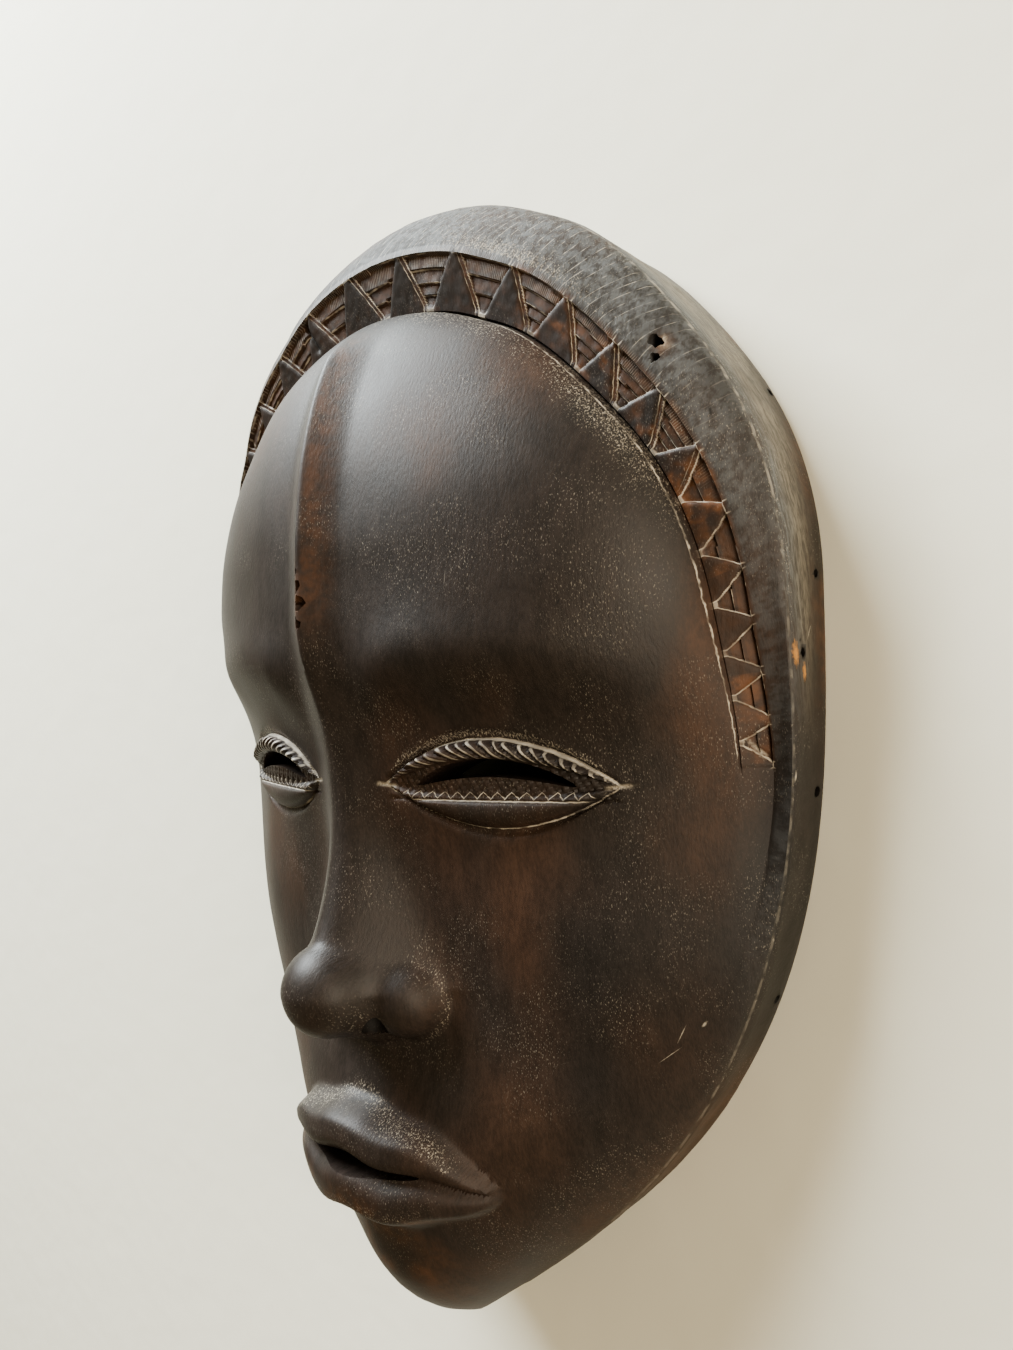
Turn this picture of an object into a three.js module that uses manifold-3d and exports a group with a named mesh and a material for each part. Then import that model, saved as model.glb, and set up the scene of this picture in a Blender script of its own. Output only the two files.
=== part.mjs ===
// A carved wooden face mask, worn on the face and hollow behind. It lies on its back rim, face up.
// Millimetres. +X is to the right of someone who looks at the face, +Y points to the crown, +Z out of the face.
// The origin is in the middle of the outline's rectangle, on the plane of the back rim.
import * as THREE from "three";
import { mergeVertices } from "three/addons/utils/BufferGeometryUtils.js";
import Module from "manifold-3d";

// Overall sizes
const HEIGHT = 250; // chin to crown
const WIDTH = 165; // across the rim where it is widest
const DEPTH = 66; // back rim to the tip of the nose

// Wood left round the hollow
const WALL = 12; // behind the face
const RIM_WIDTH = 11; // flat of the back rim

// Side wall: its height at the crown, the temples and the chin
const SIDE_CROWN = 28;
const SIDE_TEMPLE = 14.6;
const SIDE_CHIN = 17;

// Bevel outside the carved border, measured in plan
const BEVEL_CROWN = 14;
const BEVEL_TEMPLE = 3.6;

// Carved border round the forehead: its width in plan, and how high its two edges lie
const BORDER_CROWN = 11.5;
const BORDER_TEMPLE = 3.7;
const BORDER_OUTER_CROWN = 40;
const BORDER_OUTER_TEMPLE = 13.8;
const BORDER_INNER_CROWN = 36;
const BORDER_INNER_TEMPLE = 19.4;
const BORDER_END = 0.012 * HEIGHT; // the border stops here on both sides, at eye level
const GROOVE_DEPTH = 0.9; // narrow groove between the border and the forehead

// Triangles and hatching cut into the border
const BORDER_CELLS = 25; // an odd number, so that one cell is at the crown
const PITCH_EASE = 0.21; // cells at the crown are wider than the mean, those at the temples narrower
const TREADS = 3; // steps cut in each cell between two triangles
const CUT_DEPTH = 1.1;
const CUT_ABOVE = 3; // how far the cutting forms stand out of the surface
const TREAD_RISE = 0.45; // the shallow edge of a tread, as a share of the cut
const CELL_OUTER = 0.96; // ends of a cell across the border, from its inner edge at 0 to its outer edge at 1
const CELL_INNER = 0.08;
const CELL_BROAD = 0.84; // half width of a cell at its two ends, as a share of half a step
const CELL_NARROW = 0.12;

// Ridge down the middle of the forehead
const RIDGE_HEIGHT = 4.5;
const RIDGE_WIDTH = 18;

// Pierced openings
const SLIT_HEIGHT = 3.6; // seeing slit in each eye
const SLIT_LENGTH = 31;
const MOUTH_GAP = 3.6; // between the parted lips
const MOUTH_GAP_LENGTH = 34;

// Old tie holes in the side wall, and the ragged hole in the bevel
const TIE_HOLE = 2.4;
const TIE_HOLE_DEPTH = 7;
const RAGGED_HOLE = 3.4;
const RAGGED_HOLE_DEPTH = 8;

// How closely the facets follow the carved surface
const FACE_ERROR = 0.64;
const HOLLOW_ERROR = 1.5;
const FACET_SHORTEST = 1.8; // in plan
const FACET_LONGEST = 13;

const { clamp, lerp, smoothstep } = THREE.MathUtils;
const bump = (distance) => Math.exp(-distance * distance);
const arch = (t) => Math.max(0, 1 - t * t);
const softMax = (a, b, blend) => (a + b + Math.hypot(a - b, blend)) / 2;
const TOP = HEIGHT / 2;
const SIDE = WIDTH / 2;
const WIDEST_Y = 0.152 * HEIGHT;
const LOWER_POWER = 2.95; // how long the outline stays wide before it runs in to the chin
const CHIN_ROUNDING = 0.018 * HEIGHT;
const CHIN_ROUNDING_REACH = 0.06 * WIDTH;
const GAUGE_Y = 0.04 * HEIGHT; // rings of the border are gauged from this point on the midline

// Half the width of the outline at height y
function outlineHalf(y) {
  if (Math.abs(y) >= TOP) return 0;
  if (y >= WIDEST_Y) return SIDE * Math.sqrt(1 - ((y - WIDEST_Y) / (TOP - WIDEST_Y)) ** 2);
  const fall = (WIDEST_Y - y) / (WIDEST_Y + TOP);
  const half = SIDE * (1 - fall ** LOWER_POWER);
  const rounding = CHIN_ROUNDING * Math.exp(-half / CHIN_ROUNDING_REACH);
  return Math.sqrt(half * half + 2 * half * rounding);
}

// Flat places that the knife left on the outline: direction, spread and depth
const FLATS = [
  [0.9, 0.2, 1.5],
  [1.25, 0.07, 0.4],
  [1.95, 0.08, 0.6],
  [2.27, 0.07, 0.7],
  [2.52, 0.08, 0.6],
];

// Distance from the gauge point to the outline in a direction
function reachOf(angle) {
  const [c, s] = [Math.cos(angle), Math.sin(angle)];
  let [inside, outside] = [0, HEIGHT];
  for (let i = 0; i < 40; i++) {
    const r = (inside + outside) / 2;
    if (Math.abs(r * c) < outlineHalf(GAUGE_Y + r * s)) inside = r;
    else outside = r;
  }
  return FLATS.reduce((reach, [at, spread, depth]) => reach - depth * bump((angle - at) / spread), inside);
}

// Everything that runs round the mask, worked out for one direction from the gauge point
function gaugeAt(angle) {
  const reach = reachOf(angle);
  const rimY = GAUGE_Y + reach * Math.sin(angle);
  const rise = (rimY - BORDER_END) / (TOP - BORDER_END);
  const up = (rise + Math.hypot(rise, 0.1)) / 2; // nearly 0 below the border's ends, 1 at the crown
  const down = clamp((BORDER_END - rimY) / (TOP + BORDER_END), 0, 1); // 1 at the chin
  const borderOuter = 1 - lerp(BEVEL_TEMPLE, BEVEL_CROWN, up) / reach;
  return {
    reach,
    borderOuter,
    borderInner: borderOuter - lerp(BORDER_TEMPLE, BORDER_CROWN, up) / reach,
    sideHeight: lerp(SIDE_TEMPLE, SIDE_CROWN, up) + (SIDE_CHIN - SIDE_TEMPLE) * down ** 2,
    outerHeight: lerp(BORDER_OUTER_TEMPLE, BORDER_OUTER_CROWN, up),
    innerHeight: lerp(BORDER_INNER_TEMPLE, BORDER_INNER_CROWN, up),
  };
}

// The inner edge of the border as half width and height against y, sampled once
const EDGE_SAMPLES = 240;
const borderEdge = Array.from({ length: EDGE_SAMPLES + 1 }, (_, i) => {
  const angle = Math.PI * (i / EDGE_SAMPLES - 0.5);
  const g = gaugeAt(angle);
  const r = g.borderInner * g.reach;
  return { x: r * Math.cos(angle), y: GAUGE_Y + r * Math.sin(angle), z: g.innerHeight };
});
const FOREHEAD_TOP = borderEdge[EDGE_SAMPLES].y;

function borderEdgeAt(y) {
  let i = borderEdge.findIndex((p) => p.y >= y);
  if (i < 0) i = EDGE_SAMPLES;
  if (i < 1) i = 1;
  const [a, b] = [borderEdge[i - 1], borderEdge[i]];
  const t = clamp((y - a.y) / (b.y - a.y), 0, 1);
  return { x: lerp(a.x, b.x, t), z: lerp(a.z, b.z, t) };
}

// Face laid out on a canon: places as shares of height, widths as shares of width, reliefs as shares of depth
const CREST_Y = 0.18 * HEIGHT; // fullest point of the forehead
const CREST_Z = 0.865 * DEPTH;
const DOME_POWER = 0.6;

// The midline without nose, lips and ridge: share of height from the middle, share of depth.
// The first point only levels the curve at the fullest point.
const MIDLINE = [
  [0.26, 0.855],
  [0.18, 0.865],
  [0.1, 0.855],
  [0.04, 0.785],
  [-0.04, 0.69],
  [-0.12, 0.645],
  [-0.2, 0.64],
  [-0.29, 0.665],
  [-0.37, 0.625],
  [-0.43, 0.54],
  [-0.475, 0.41],
  [-0.5, 0.26],
].reverse();
const midlineCurve = new THREE.CatmullRomCurve3(
  MIDLINE.map(([y, z]) => new THREE.Vector3(y * HEIGHT, z * DEPTH, 0)),
  false,
  "centripetal",
);
const midlinePoints = midlineCurve.getSpacedPoints(160);

function midline(y) {
  if (y > CREST_Y) {
    const edge = BORDER_INNER_CROWN;
    const t = clamp((y - CREST_Y) / (FOREHEAD_TOP - CREST_Y), 0, 1);
    return edge + (CREST_Z - edge) * (1 - t * t) ** DOME_POWER;
  }
  const i = clamp(midlinePoints.findIndex((p) => p.x >= y), 1, midlinePoints.length - 1);
  const [a, b] = [midlinePoints[i - 1], midlinePoints[i]];
  return lerp(a.y, b.y, clamp((y - a.x) / (b.x - a.x), 0, 1));
}

// How full the cross-section is: low powers give steep sides and a broad front
function fullness(y) {
  const share = y / HEIGHT;
  const brow = lerp(0.95, DOME_POWER, smoothstep(share, 0, 0.16));
  const cheek = lerp(0.8, brow, smoothstep(share, -0.2, 0));
  return lerp(0.62, cheek, smoothstep(share, -0.5, -0.22));
}

const FACE_FADE = 0.17 * HEIGHT; // the cheek runs into the temple over this length below the border's end

// Skin of the forehead and cheeks, without features
function skin(x, y, strip) {
  const edge = borderEdgeAt(y);
  const power = fullness(y);
  const top = midline(y);
  const across = Math.abs(x) / Math.max(edge.x, 1e-6);
  const dome = edge.z + (top - edge.z) * arch(across) ** power;
  const upper = strip.outside ? strip.height : dome;
  const half = outlineHalf(y);
  const share = clamp(Math.abs(x) / Math.max(half, 1e-6), 0, 1);
  const lower = strip.side + (top - strip.side) * Math.max(0, 1 - share ** 2.1) ** power;
  return lerp(lower, upper, smoothstep(y, BORDER_END - FACE_FADE, BORDER_END));
}

// Eyes: half-closed, each an almond with a corded upper lid, a slit, a hatched row and a smooth lower lid
const EYE_X = 0.2 * WIDTH;
const EYE_HALF = 0.135 * WIDTH;
const EYE_UP = 0.036 * HEIGHT;
const EYE_DOWN = 0.032 * HEIGHT;
const LID_SHARE = 0.4; // of the upper half that the corded lid takes

function eyeRelief(x, y) {
  const across = (Math.abs(x) - EYE_X) / EYE_HALF;
  const arc = arch(across);
  const socket = -0.055 * DEPTH * bump(Math.hypot(across / 1.25, (y - 0.01 * HEIGHT) / (0.055 * HEIGHT)));
  const mound = 0.05 * DEPTH * bump(Math.hypot(across / 0.95, y / (0.045 * HEIGHT)));
  if (arc <= 0) return socket + mound;
  const up = y / (EYE_UP * arc);
  const down = -y / (EYE_DOWN * arc);
  const size = Math.min(1, 2.2 * arc);
  let relief = 0;
  if (y > 0) relief += 0.03 * DEPTH * arch((up - 1 + LID_SHARE / 2) / (LID_SHARE * 0.62));
  else relief += 0.022 * DEPTH * arch((down - 0.66) / 0.4);
  relief -= 0.014 * DEPTH * (bump((up - 1.12) / 0.1) + bump((down - 1.12) / 0.12));
  return socket + mound + relief * size;
}

// Nose: a straight bridge, a round tip and two round wings
const NOSE_TIP_Y = -0.165 * HEIGHT;
const NOSE_ROOT_Y = 0.03 * HEIGHT;
const NOSE_ROOT_Z = 0.74 * DEPTH;
const NOSE_TIP_Z = 0.93 * DEPTH; // of the bridge, under the tip
const NOSE_TIP_BLEND = 0.01 * DEPTH; // what the blends add to the height of the tip
const NOSE_TIP_RADIUS = 0.056 * WIDTH;
const WING_X = 0.068 * WIDTH;
const WING_Y = -0.174 * HEIGHT;
const WING_RADIUS = 0.047 * WIDTH;
const WING_Z = 0.68 * DEPTH;

function ball(x, y, cx, cy, cz, radius) {
  const d = Math.hypot(x - cx, y - cy);
  if (d < radius) return cz + Math.sqrt(radius * radius - d * d);
  return cz - 3 * (d - radius);
}

function nose(x, y, face) {
  const along = (NOSE_ROOT_Y - y) / (NOSE_ROOT_Y - NOSE_TIP_Y);
  const sag = 0.02 * DEPTH * Math.sin(Math.PI * clamp(along, 0, 1));
  const crest = lerp(NOSE_ROOT_Z, NOSE_TIP_Z, along) - sag;
  const rounding = 0.034 * WIDTH;
  const under = Math.max(0, NOSE_TIP_Y - y);
  const bridge = crest - 1.4 * (Math.hypot(x, rounding) - rounding) - 3 * under;
  const tip = ball(x, y, 0, NOSE_TIP_Y, DEPTH - NOSE_TIP_RADIUS - NOSE_TIP_BLEND, NOSE_TIP_RADIUS);
  const wing = ball(Math.abs(x), y, WING_X, WING_Y, WING_Z, WING_RADIUS);
  const body = softMax(tip, bridge, 0.05 * DEPTH);
  const blend = lerp(0.12, 0.06, smoothstep(along, 0.1, 0.6)) * DEPTH;
  return softMax(softMax(face, body, blend), wing, 0.045 * DEPTH);
}

// Mouth: full parted lips on a low mound
const MOUTH_Y = -0.306 * HEIGHT;
const MOUTH_HALF = 0.18 * WIDTH;
const UPPER_LIP = 0.044 * HEIGHT;
const LOWER_LIP = 0.05 * HEIGHT;
const LIP_RELIEF = 0.1 * DEPTH;

function partingY(across) {
  return MOUTH_Y - 0.016 * HEIGHT * across * across + 0.004 * HEIGHT * Math.cos(3 * Math.PI * across) * arch(across);
}

function mouthRelief(x, y) {
  const across = Math.abs(x) / MOUTH_HALF;
  const mound = 0.085 * DEPTH * bump(Math.hypot(across, (y - MOUTH_Y) / (0.085 * HEIGHT)));
  const arc = arch(across);
  if (arc <= 0) return mound;
  const parting = partingY(across);
  const bow = 1 - 0.16 * bump(across / 0.17);
  const reachUp = UPPER_LIP * bow * arc ** 0.75;
  const reachDown = LOWER_LIP * arc ** 0.7;
  const t = y > parting ? (y - parting) / reachUp : (parting - y) / reachDown;
  const lip = smoothstep(1.2 - t, 0, 0.45) * (1 - 0.5 * bump(t / 0.22));
  return mound + LIP_RELIEF * lip * arc ** 0.45;
}

// Ridge down the forehead, fading into the bridge of the nose
function ridgeRelief(x, y) {
  const half = RIDGE_WIDTH / 2;
  const foot = smoothstep(y, NOSE_ROOT_Y - 0.1 * HEIGHT, NOSE_ROOT_Y);
  const rise = foot * lerp(0.45, 1, smoothstep(y, NOSE_ROOT_Y, 0.14 * HEIGHT));
  const keel = Math.max(0, 1 - Math.hypot(x, 0.6) / half);
  const end = smoothstep(FOREHEAD_TOP - y, 0, 0.05 * HEIGHT);
  return RIDGE_HEIGHT * rise * end * keel ** 1.5;
}

// Height of the carved front at a point in plan
function frontHeight(x, y, strip) {
  let z = skin(x, y, strip);
  if (strip.outside && y > BORDER_END) return z;
  const wide = Math.abs(x) / WIDTH;
  const brow = 0.03 * DEPTH * bump((y - 0.1 * HEIGHT + 0.9 * (wide * WIDTH - EYE_X) ** 2 / WIDTH) / (0.03 * HEIGHT));
  z += brow * smoothstep(0.42 - wide, 0, 0.15) * smoothstep(wide, 0.02, 0.12);
  z += 0.025 * DEPTH * bump(Math.hypot((wide - 0.28) / 0.1, (y + 0.11 * HEIGHT) / (0.07 * HEIGHT)));
  z += 0.05 * DEPTH * bump(Math.hypot(wide / 0.09, (y + 0.43 * HEIGHT) / (0.045 * HEIGHT)));
  z += eyeRelief(x, y) + mouthRelief(x, y) + ridgeRelief(x, y);
  return nose(x, y, z);
}

// The front is a disc: its radius runs from 0 on the gauge point over these rings to 1 on the outline
const RING_DOME = 0.796;
const RING_GROOVE = 0.8;
const RING_BORDER = 0.804;
const RING_BEVEL = 0.9;
const RINGS = [0.14, 0.28, 0.42, 0.56, 0.68, RING_DOME, RING_GROOVE, RING_BORDER, RING_BEVEL, 1];

function frontPoint(u, v) {
  const ring = Math.hypot(u, v);
  const angle = Math.atan2(v, u);
  const g = gaugeAt(angle);
  let share = (ring / RING_GROOVE) * g.borderInner;
  if (ring > RING_GROOVE) {
    const t = (ring - RING_GROOVE) / (RING_BEVEL - RING_GROOVE);
    share = lerp(g.borderInner, g.borderOuter, t);
  }
  if (ring > RING_BEVEL) share = lerp(g.borderOuter, 1, (ring - RING_BEVEL) / (1 - RING_BEVEL));
  const [x, y] = [share * g.reach * Math.cos(angle), GAUGE_Y + share * g.reach * Math.sin(angle)];
  const inBorder = clamp((ring - RING_GROOVE) / (RING_BEVEL - RING_GROOVE), 0, 1);
  const onBevel = clamp((ring - RING_BEVEL) / (1 - RING_BEVEL), 0, 1);
  const stripHeight = lerp(lerp(g.innerHeight, g.outerHeight, inBorder), g.sideHeight, onBevel ** 1.3);
  const strip = { height: stripHeight, side: g.sideHeight, outside: ring >= RING_GROOVE - 1e-9 };
  const groove = arch((ring - RING_GROOVE) / (RING_GROOVE - RING_DOME)) * smoothstep(y, BORDER_END - 2, BORDER_END);
  return new THREE.Vector3(x, y, frontHeight(x, y, strip) - GROOVE_DEPTH * groove);
}

// The hollow follows the face inside the wall, plainly
function hollowPoint(u, v) {
  const ring = Math.hypot(u, v);
  const angle = Math.atan2(v, u);
  const r = ring * (reachOf(angle) - RIM_WIDTH);
  const [x, y] = [r * Math.cos(angle), GAUGE_Y + r * Math.sin(angle)];
  const crown = smoothstep(Math.sin(angle), 0.1, 0.9);
  const top = Math.min(midline(y), midline(Math.min(y, CREST_Y))) - WALL;
  const vault = Math.max(0, 1 - ring ** lerp(2.3, 2.6, crown)) ** lerp(0.9, 1, crown);
  return new THREE.Vector3(x, y, top * vault);
}

// A disc of triangles in u, v whose edges are halved until the facets lie close to the surface
function carve(pointAt, rings, spokes, error) {
  const points = [];
  const add = (u, v) => points.push({ u, v, at: pointAt(u, v) }) - 1;
  add(0, 0);
  rings.forEach((ring) => {
    for (let i = 0; i < spokes; i++) {
      const angle = (2 * Math.PI * i) / spokes;
      add(ring * Math.cos(angle), ring * Math.sin(angle));
    }
  });
  let triangles = [];
  for (let i = 0; i < spokes; i++) triangles.push([0, 1 + i, 1 + ((i + 1) % spokes)]);
  for (let k = 1; k < rings.length; k++) {
    const [low, high] = [1 + (k - 1) * spokes, 1 + k * spokes];
    for (let i = 0; i < spokes; i++) {
      const j = (i + 1) % spokes;
      if (k % 2) triangles.push([low + i, high + i, low + j], [low + j, high + i, high + j]);
      else triangles.push([low + i, high + i, high + j], [low + i, high + j, low + j]);
    }
  }

  const between = (a, b, t) => {
    const [p, q] = [points[a], points[b]];
    const [u, v] = [lerp(p.u, q.u, t), lerp(p.v, q.v, t)];
    const ring = Math.hypot(p.u, p.v);
    const along = rings.some((r) => r >= RING_DOME && Math.abs(r - ring) < 1e-9);
    if (!along || Math.abs(Math.hypot(q.u, q.v) - ring) > 1e-9) return [u, v];
    const scale = ring / Math.hypot(u, v);
    return [u * scale, v * scale];
  };
  const tested = new Map();
  const tooCoarse = (a, b) => {
    const key = a < b ? a + "_" + b : b + "_" + a;
    if (!tested.has(key)) {
      const [p, q] = [points[a].at, points[b].at];
      const inPlan = Math.hypot(p.x - q.x, p.y - q.y);
      let split = inPlan > FACET_SHORTEST && p.distanceTo(q) > FACET_LONGEST;
      for (const t of [0.25, 0.5, 0.75]) {
        if (split || inPlan < FACET_SHORTEST) break;
        const onFacet = new THREE.Vector3().lerpVectors(p, q, t);
        split = pointAt(...between(a, b, t)).distanceTo(onFacet) > error;
      }
      tested.set(key, split);
    }
    return tested.get(key);
  };

  const halves = new Map();
  const halve = (a, b) => {
    const key = a < b ? a + "_" + b : b + "_" + a;
    if (!halves.has(key)) halves.set(key, add(...between(a, b, 0.5)));
    return halves.get(key);
  };
  const lengthOf = (a, b) => points[a].at.distanceTo(points[b].at);
  for (let again = true; again; ) {
    const marked = new Set();
    const keyOf = (a, b) => (a < b ? a + "_" + b : b + "_" + a);
    // Each triangle starts with its longest edge, so that a halving leaves well shaped ones
    triangles = triangles.map(([a, b, c]) => {
      const [ab, bc, ca] = [lengthOf(a, b), lengthOf(b, c), lengthOf(c, a)];
      if (bc > ab && bc >= ca) return [b, c, a];
      if (ca > ab && ca > bc) return [c, a, b];
      return [a, b, c];
    });
    for (const [a, b, c] of triangles)
      for (const [p, q] of [[a, b], [b, c], [c, a]]) if (tooCoarse(p, q)) marked.add(keyOf(p, q));
    for (let grown = true; grown; ) {
      grown = false;
      for (const [a, b, c] of triangles) {
        if (marked.has(keyOf(a, b)) || !(marked.has(keyOf(b, c)) || marked.has(keyOf(c, a)))) continue;
        marked.add(keyOf(a, b));
        grown = true;
      }
    }
    again = marked.size > 0;
    triangles = triangles.flatMap(([a, b, c]) => {
      if (!marked.has(keyOf(a, b))) return [[a, b, c]];
      const m = halve(a, b);
      const left = marked.has(keyOf(c, a)) ? [[a, m, halve(c, a)], [halve(c, a), m, c]] : [[a, m, c]];
      const right = marked.has(keyOf(b, c)) ? [[m, b, halve(b, c)], [m, halve(b, c), c]] : [[m, b, c]];
      return [...left, ...right];
    });
  }
  const rimPoints = points.map((p, i) => i).filter((i) => Math.hypot(points[i].u, points[i].v) > 1 - 1e-9);
  rimPoints.sort((a, b) => Math.atan2(points[a].v, points[a].u) - Math.atan2(points[b].v, points[b].u));
  return { points: points.map((p) => p.at), triangles, rim: rimPoints };
}

const wasm = await Module();
wasm.setup();

// A closed three.js geometry as a solid
function solidOf(geometry) {
  const bare = geometry.clone();
  bare.deleteAttribute("normal");
  bare.deleteAttribute("uv");
  const merged = mergeVertices(bare, 1e-4);
  const corners = Array.from(merged.index.array);
  const whole = corners.filter((_, i) => {
    const [a, b, c] = corners.slice(i - (i % 3), i - (i % 3) + 3);
    return a !== b && b !== c && c !== a;
  });
  const vertProperties = new Float32Array(merged.attributes.position.array);
  return new wasm.Manifold(new wasm.Mesh({ numProp: 3, vertProperties, triVerts: new Uint32Array(whole) }));
}

function indexed(points, faces) {
  const geometry = new THREE.BufferGeometry();
  geometry.setAttribute("position", new THREE.Float32BufferAttribute(points.flatMap((p) => p.toArray()), 3));
  geometry.setIndex(faces.flat());
  return geometry;
}

// A closed solid through four-cornered sections
function loft(sections) {
  const faces = [[0, 2, 1], [0, 3, 2]];
  for (let i = 1; i < sections.length; i++)
    for (let k = 0; k < 4; k++) {
      const [a, b] = [4 * i - 4 + k, 4 * i - 4 + ((k + 1) % 4)];
      faces.push([a, b, b + 4], [a, b + 4, a + 4]);
    }
  const last = 4 * sections.length - 4;
  faces.push([last, last + 1, last + 2], [last, last + 2, last + 3]);
  return solidOf(indexed(sections.flat(), faces));
}

// A carved disc, its sides dropped to a floor and closed there
function closedOver({ points, triangles, rim }, floor) {
  const all = points.map((p) => p.clone());
  const foot = rim.map((i) => all.push(new THREE.Vector3(points[i].x, points[i].y, floor)) - 1);
  const middle = all.push(new THREE.Vector3(0, GAUGE_Y, floor)) - 1;
  const faces = triangles.map((t) => [...t]);
  rim.forEach((top, k) => {
    const next = (k + 1) % rim.length;
    faces.push([top, foot[k], foot[next]], [top, foot[next], rim[next]], [middle, foot[next], foot[k]]);
  });
  return solidOf(indexed(all, faces));
}

const SPOKES = 44;
const front = closedOver(carve(frontPoint, RINGS, SPOKES, FACE_ERROR), 0);
const HOLLOW_RINGS = [0.25, 0.5, 0.75, 0.9, 1];
const hollow = closedOver(carve(hollowPoint, HOLLOW_RINGS, 28, HOLLOW_ERROR), -RIM_WIDTH);

// A point of the border: t from 0 at its inner edge to 1 at its outer edge
function borderPoint(angle, t) {
  const ring = lerp(RING_BORDER, RING_BEVEL, t);
  return frontPoint(ring * Math.cos(angle), ring * Math.sin(angle));
}

// Directions of the triangles' points along the border, from the crown to the right-hand end
const END_ANGLE = Math.asin((BORDER_END - GAUGE_Y) / reachOf(0));
function borderAngle(step) {
  const share = step / (BORDER_CELLS / 2);
  const eased = Math.sign(share) * (Math.abs(share) + PITCH_EASE * Math.abs(share) * (1 - Math.abs(share)));
  return Math.PI / 2 - eased * (Math.PI / 2 - END_ANGLE);
}

// The sunk cell between two triangles: wide at the outer edge, a point at the groove, its floor cut in treads
function borderCell(middle, halfStep) {
  const centre = borderPoint(borderAngle(middle), 0.5);
  const along = borderPoint(borderAngle(middle + 0.1), 0.5).sub(centre);
  const outwards = borderPoint(borderAngle(middle), 0.7).sub(centre);
  const normal = new THREE.Vector3().crossVectors(along, outwards).normalize();
  const section = (row, depth) => {
    const t = lerp(CELL_OUTER, CELL_INNER, row / TREADS);
    const half = halfStep * lerp(CELL_BROAD, CELL_NARROW, row / TREADS);
    const [left, right] = [borderPoint(borderAngle(middle - half), t), borderPoint(borderAngle(middle + half), t)];
    const at = (p, rise) => p.clone().addScaledVector(normal, rise);
    return [at(left, -depth), at(right, -depth), at(right, CUT_ABOVE), at(left, CUT_ABOVE)];
  };
  const sections = [];
  for (let row = 0; row < TREADS; row++) {
    sections.push(section(row, CUT_DEPTH));
    sections.push(section(row + 1, CUT_DEPTH * TREAD_RISE));
  }
  return loft(sections);
}

const cuts = [];
for (let i = 0; i < BORDER_CELLS; i++) cuts.push(borderCell(i - (BORDER_CELLS - 1) / 2, 0.5));

// A pierced crescent or lens, cut straight through from the front
function piercing(length, height, sag, centreX, centreY) {
  const steps = 12;
  const outline = [];
  for (let i = 0; i <= steps; i++) {
    const t = (2 * i) / steps - 1;
    outline.push(new THREE.Vector2((t * length) / 2, sag * arch(t) + (height / 2) * arch(t) ** 0.6));
  }
  for (let i = steps - 1; i > 0; i--) {
    const t = (2 * i) / steps - 1;
    outline.push(new THREE.Vector2((t * length) / 2, sag * arch(t) - (height / 2) * arch(t) ** 0.6));
  }
  const geometry = new THREE.ExtrudeGeometry(new THREE.Shape(outline), { depth: 2 * DEPTH, bevelEnabled: false });
  return solidOf(geometry.translate(centreX, centreY, -DEPTH / 2));
}
const slitSag = EYE_UP * (1 - LID_SHARE) - SLIT_HEIGHT / 2;
for (const side of [-1, 1]) cuts.push(piercing(SLIT_LENGTH, SLIT_HEIGHT, slitSag, side * EYE_X, 0));
cuts.push(piercing(MOUTH_GAP_LENGTH, MOUTH_GAP, 0, 0, MOUTH_Y - 0.002 * HEIGHT));

// Holes: drilled ones in the side wall at these places round the rim, and the ragged one in the bevel
function drilled(at, inwards, width, depth) {
  const drill = new THREE.CylinderGeometry(width / 2, width * 0.35, 2 * depth, 8);
  const turn = new THREE.Quaternion().setFromUnitVectors(new THREE.Vector3(0, -1, 0), inwards);
  return solidOf(drill.applyQuaternion(turn).translate(at.x, at.y, at.z));
}
const TIE_HOLES = [
  { angle: 0.725, share: 0.13, width: 0.75 * TIE_HOLE },
  { angle: 0.335, share: 0.25, width: 0.75 * TIE_HOLE },
  { angle: 0.165, share: 0.67, width: TIE_HOLE },
  { angle: -0.154, share: 0.25, width: TIE_HOLE },
  { angle: -0.644, share: 0.24, width: TIE_HOLE },
];
for (const { angle, share, width } of TIE_HOLES) {
  const g = gaugeAt(angle);
  const out = new THREE.Vector3(Math.cos(angle), Math.sin(angle), 0);
  const at = out.clone().multiplyScalar(g.reach).add(new THREE.Vector3(0, GAUGE_Y, share * g.sideHeight));
  cuts.push(drilled(at, out.negate(), width, TIE_HOLE_DEPTH));
}
const RAGGED_ANGLE = 0.843;
for (const [turn, ring, size] of [[0, 0.945, 1], [-0.026, 0.927, 0.6]]) {
  const angle = RAGGED_ANGLE + turn;
  const at = frontPoint(ring * Math.cos(angle), ring * Math.sin(angle));
  const inwards = new THREE.Vector3(-0.3 * Math.cos(angle), -0.3 * Math.sin(angle), -1).normalize();
  cuts.push(drilled(at, inwards, RAGGED_HOLE * size, RAGGED_HOLE_DEPTH * size));
}

let carved = front.subtract(hollow);
for (const cut of cuts) carved = carved.subtract(cut);

const result = carved.getMesh();
const shape = new THREE.BufferGeometry();
shape.setAttribute("position", new THREE.BufferAttribute(result.vertProperties, 3));
shape.setIndex(new THREE.BufferAttribute(result.triVerts, 1));
const wood = new THREE.MeshStandardMaterial({ color: 0x2e221c, roughness: 0.45, metalness: 0 });
const mask = new THREE.Mesh(shape, wood);
mask.name = "mask";

const group = new THREE.Group();
group.add(mask);
export default group;
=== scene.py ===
"""A carved wooden face mask, worn on the face and hollow behind, lying on its back rim.

The shape is worked out in millimetres from a few named sizes, and the meshes are written in metres.
+X is to the right of someone who looks at the face, +Y points to the crown, +Z out of the face.
"""

import math
from contextlib import contextmanager

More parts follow.
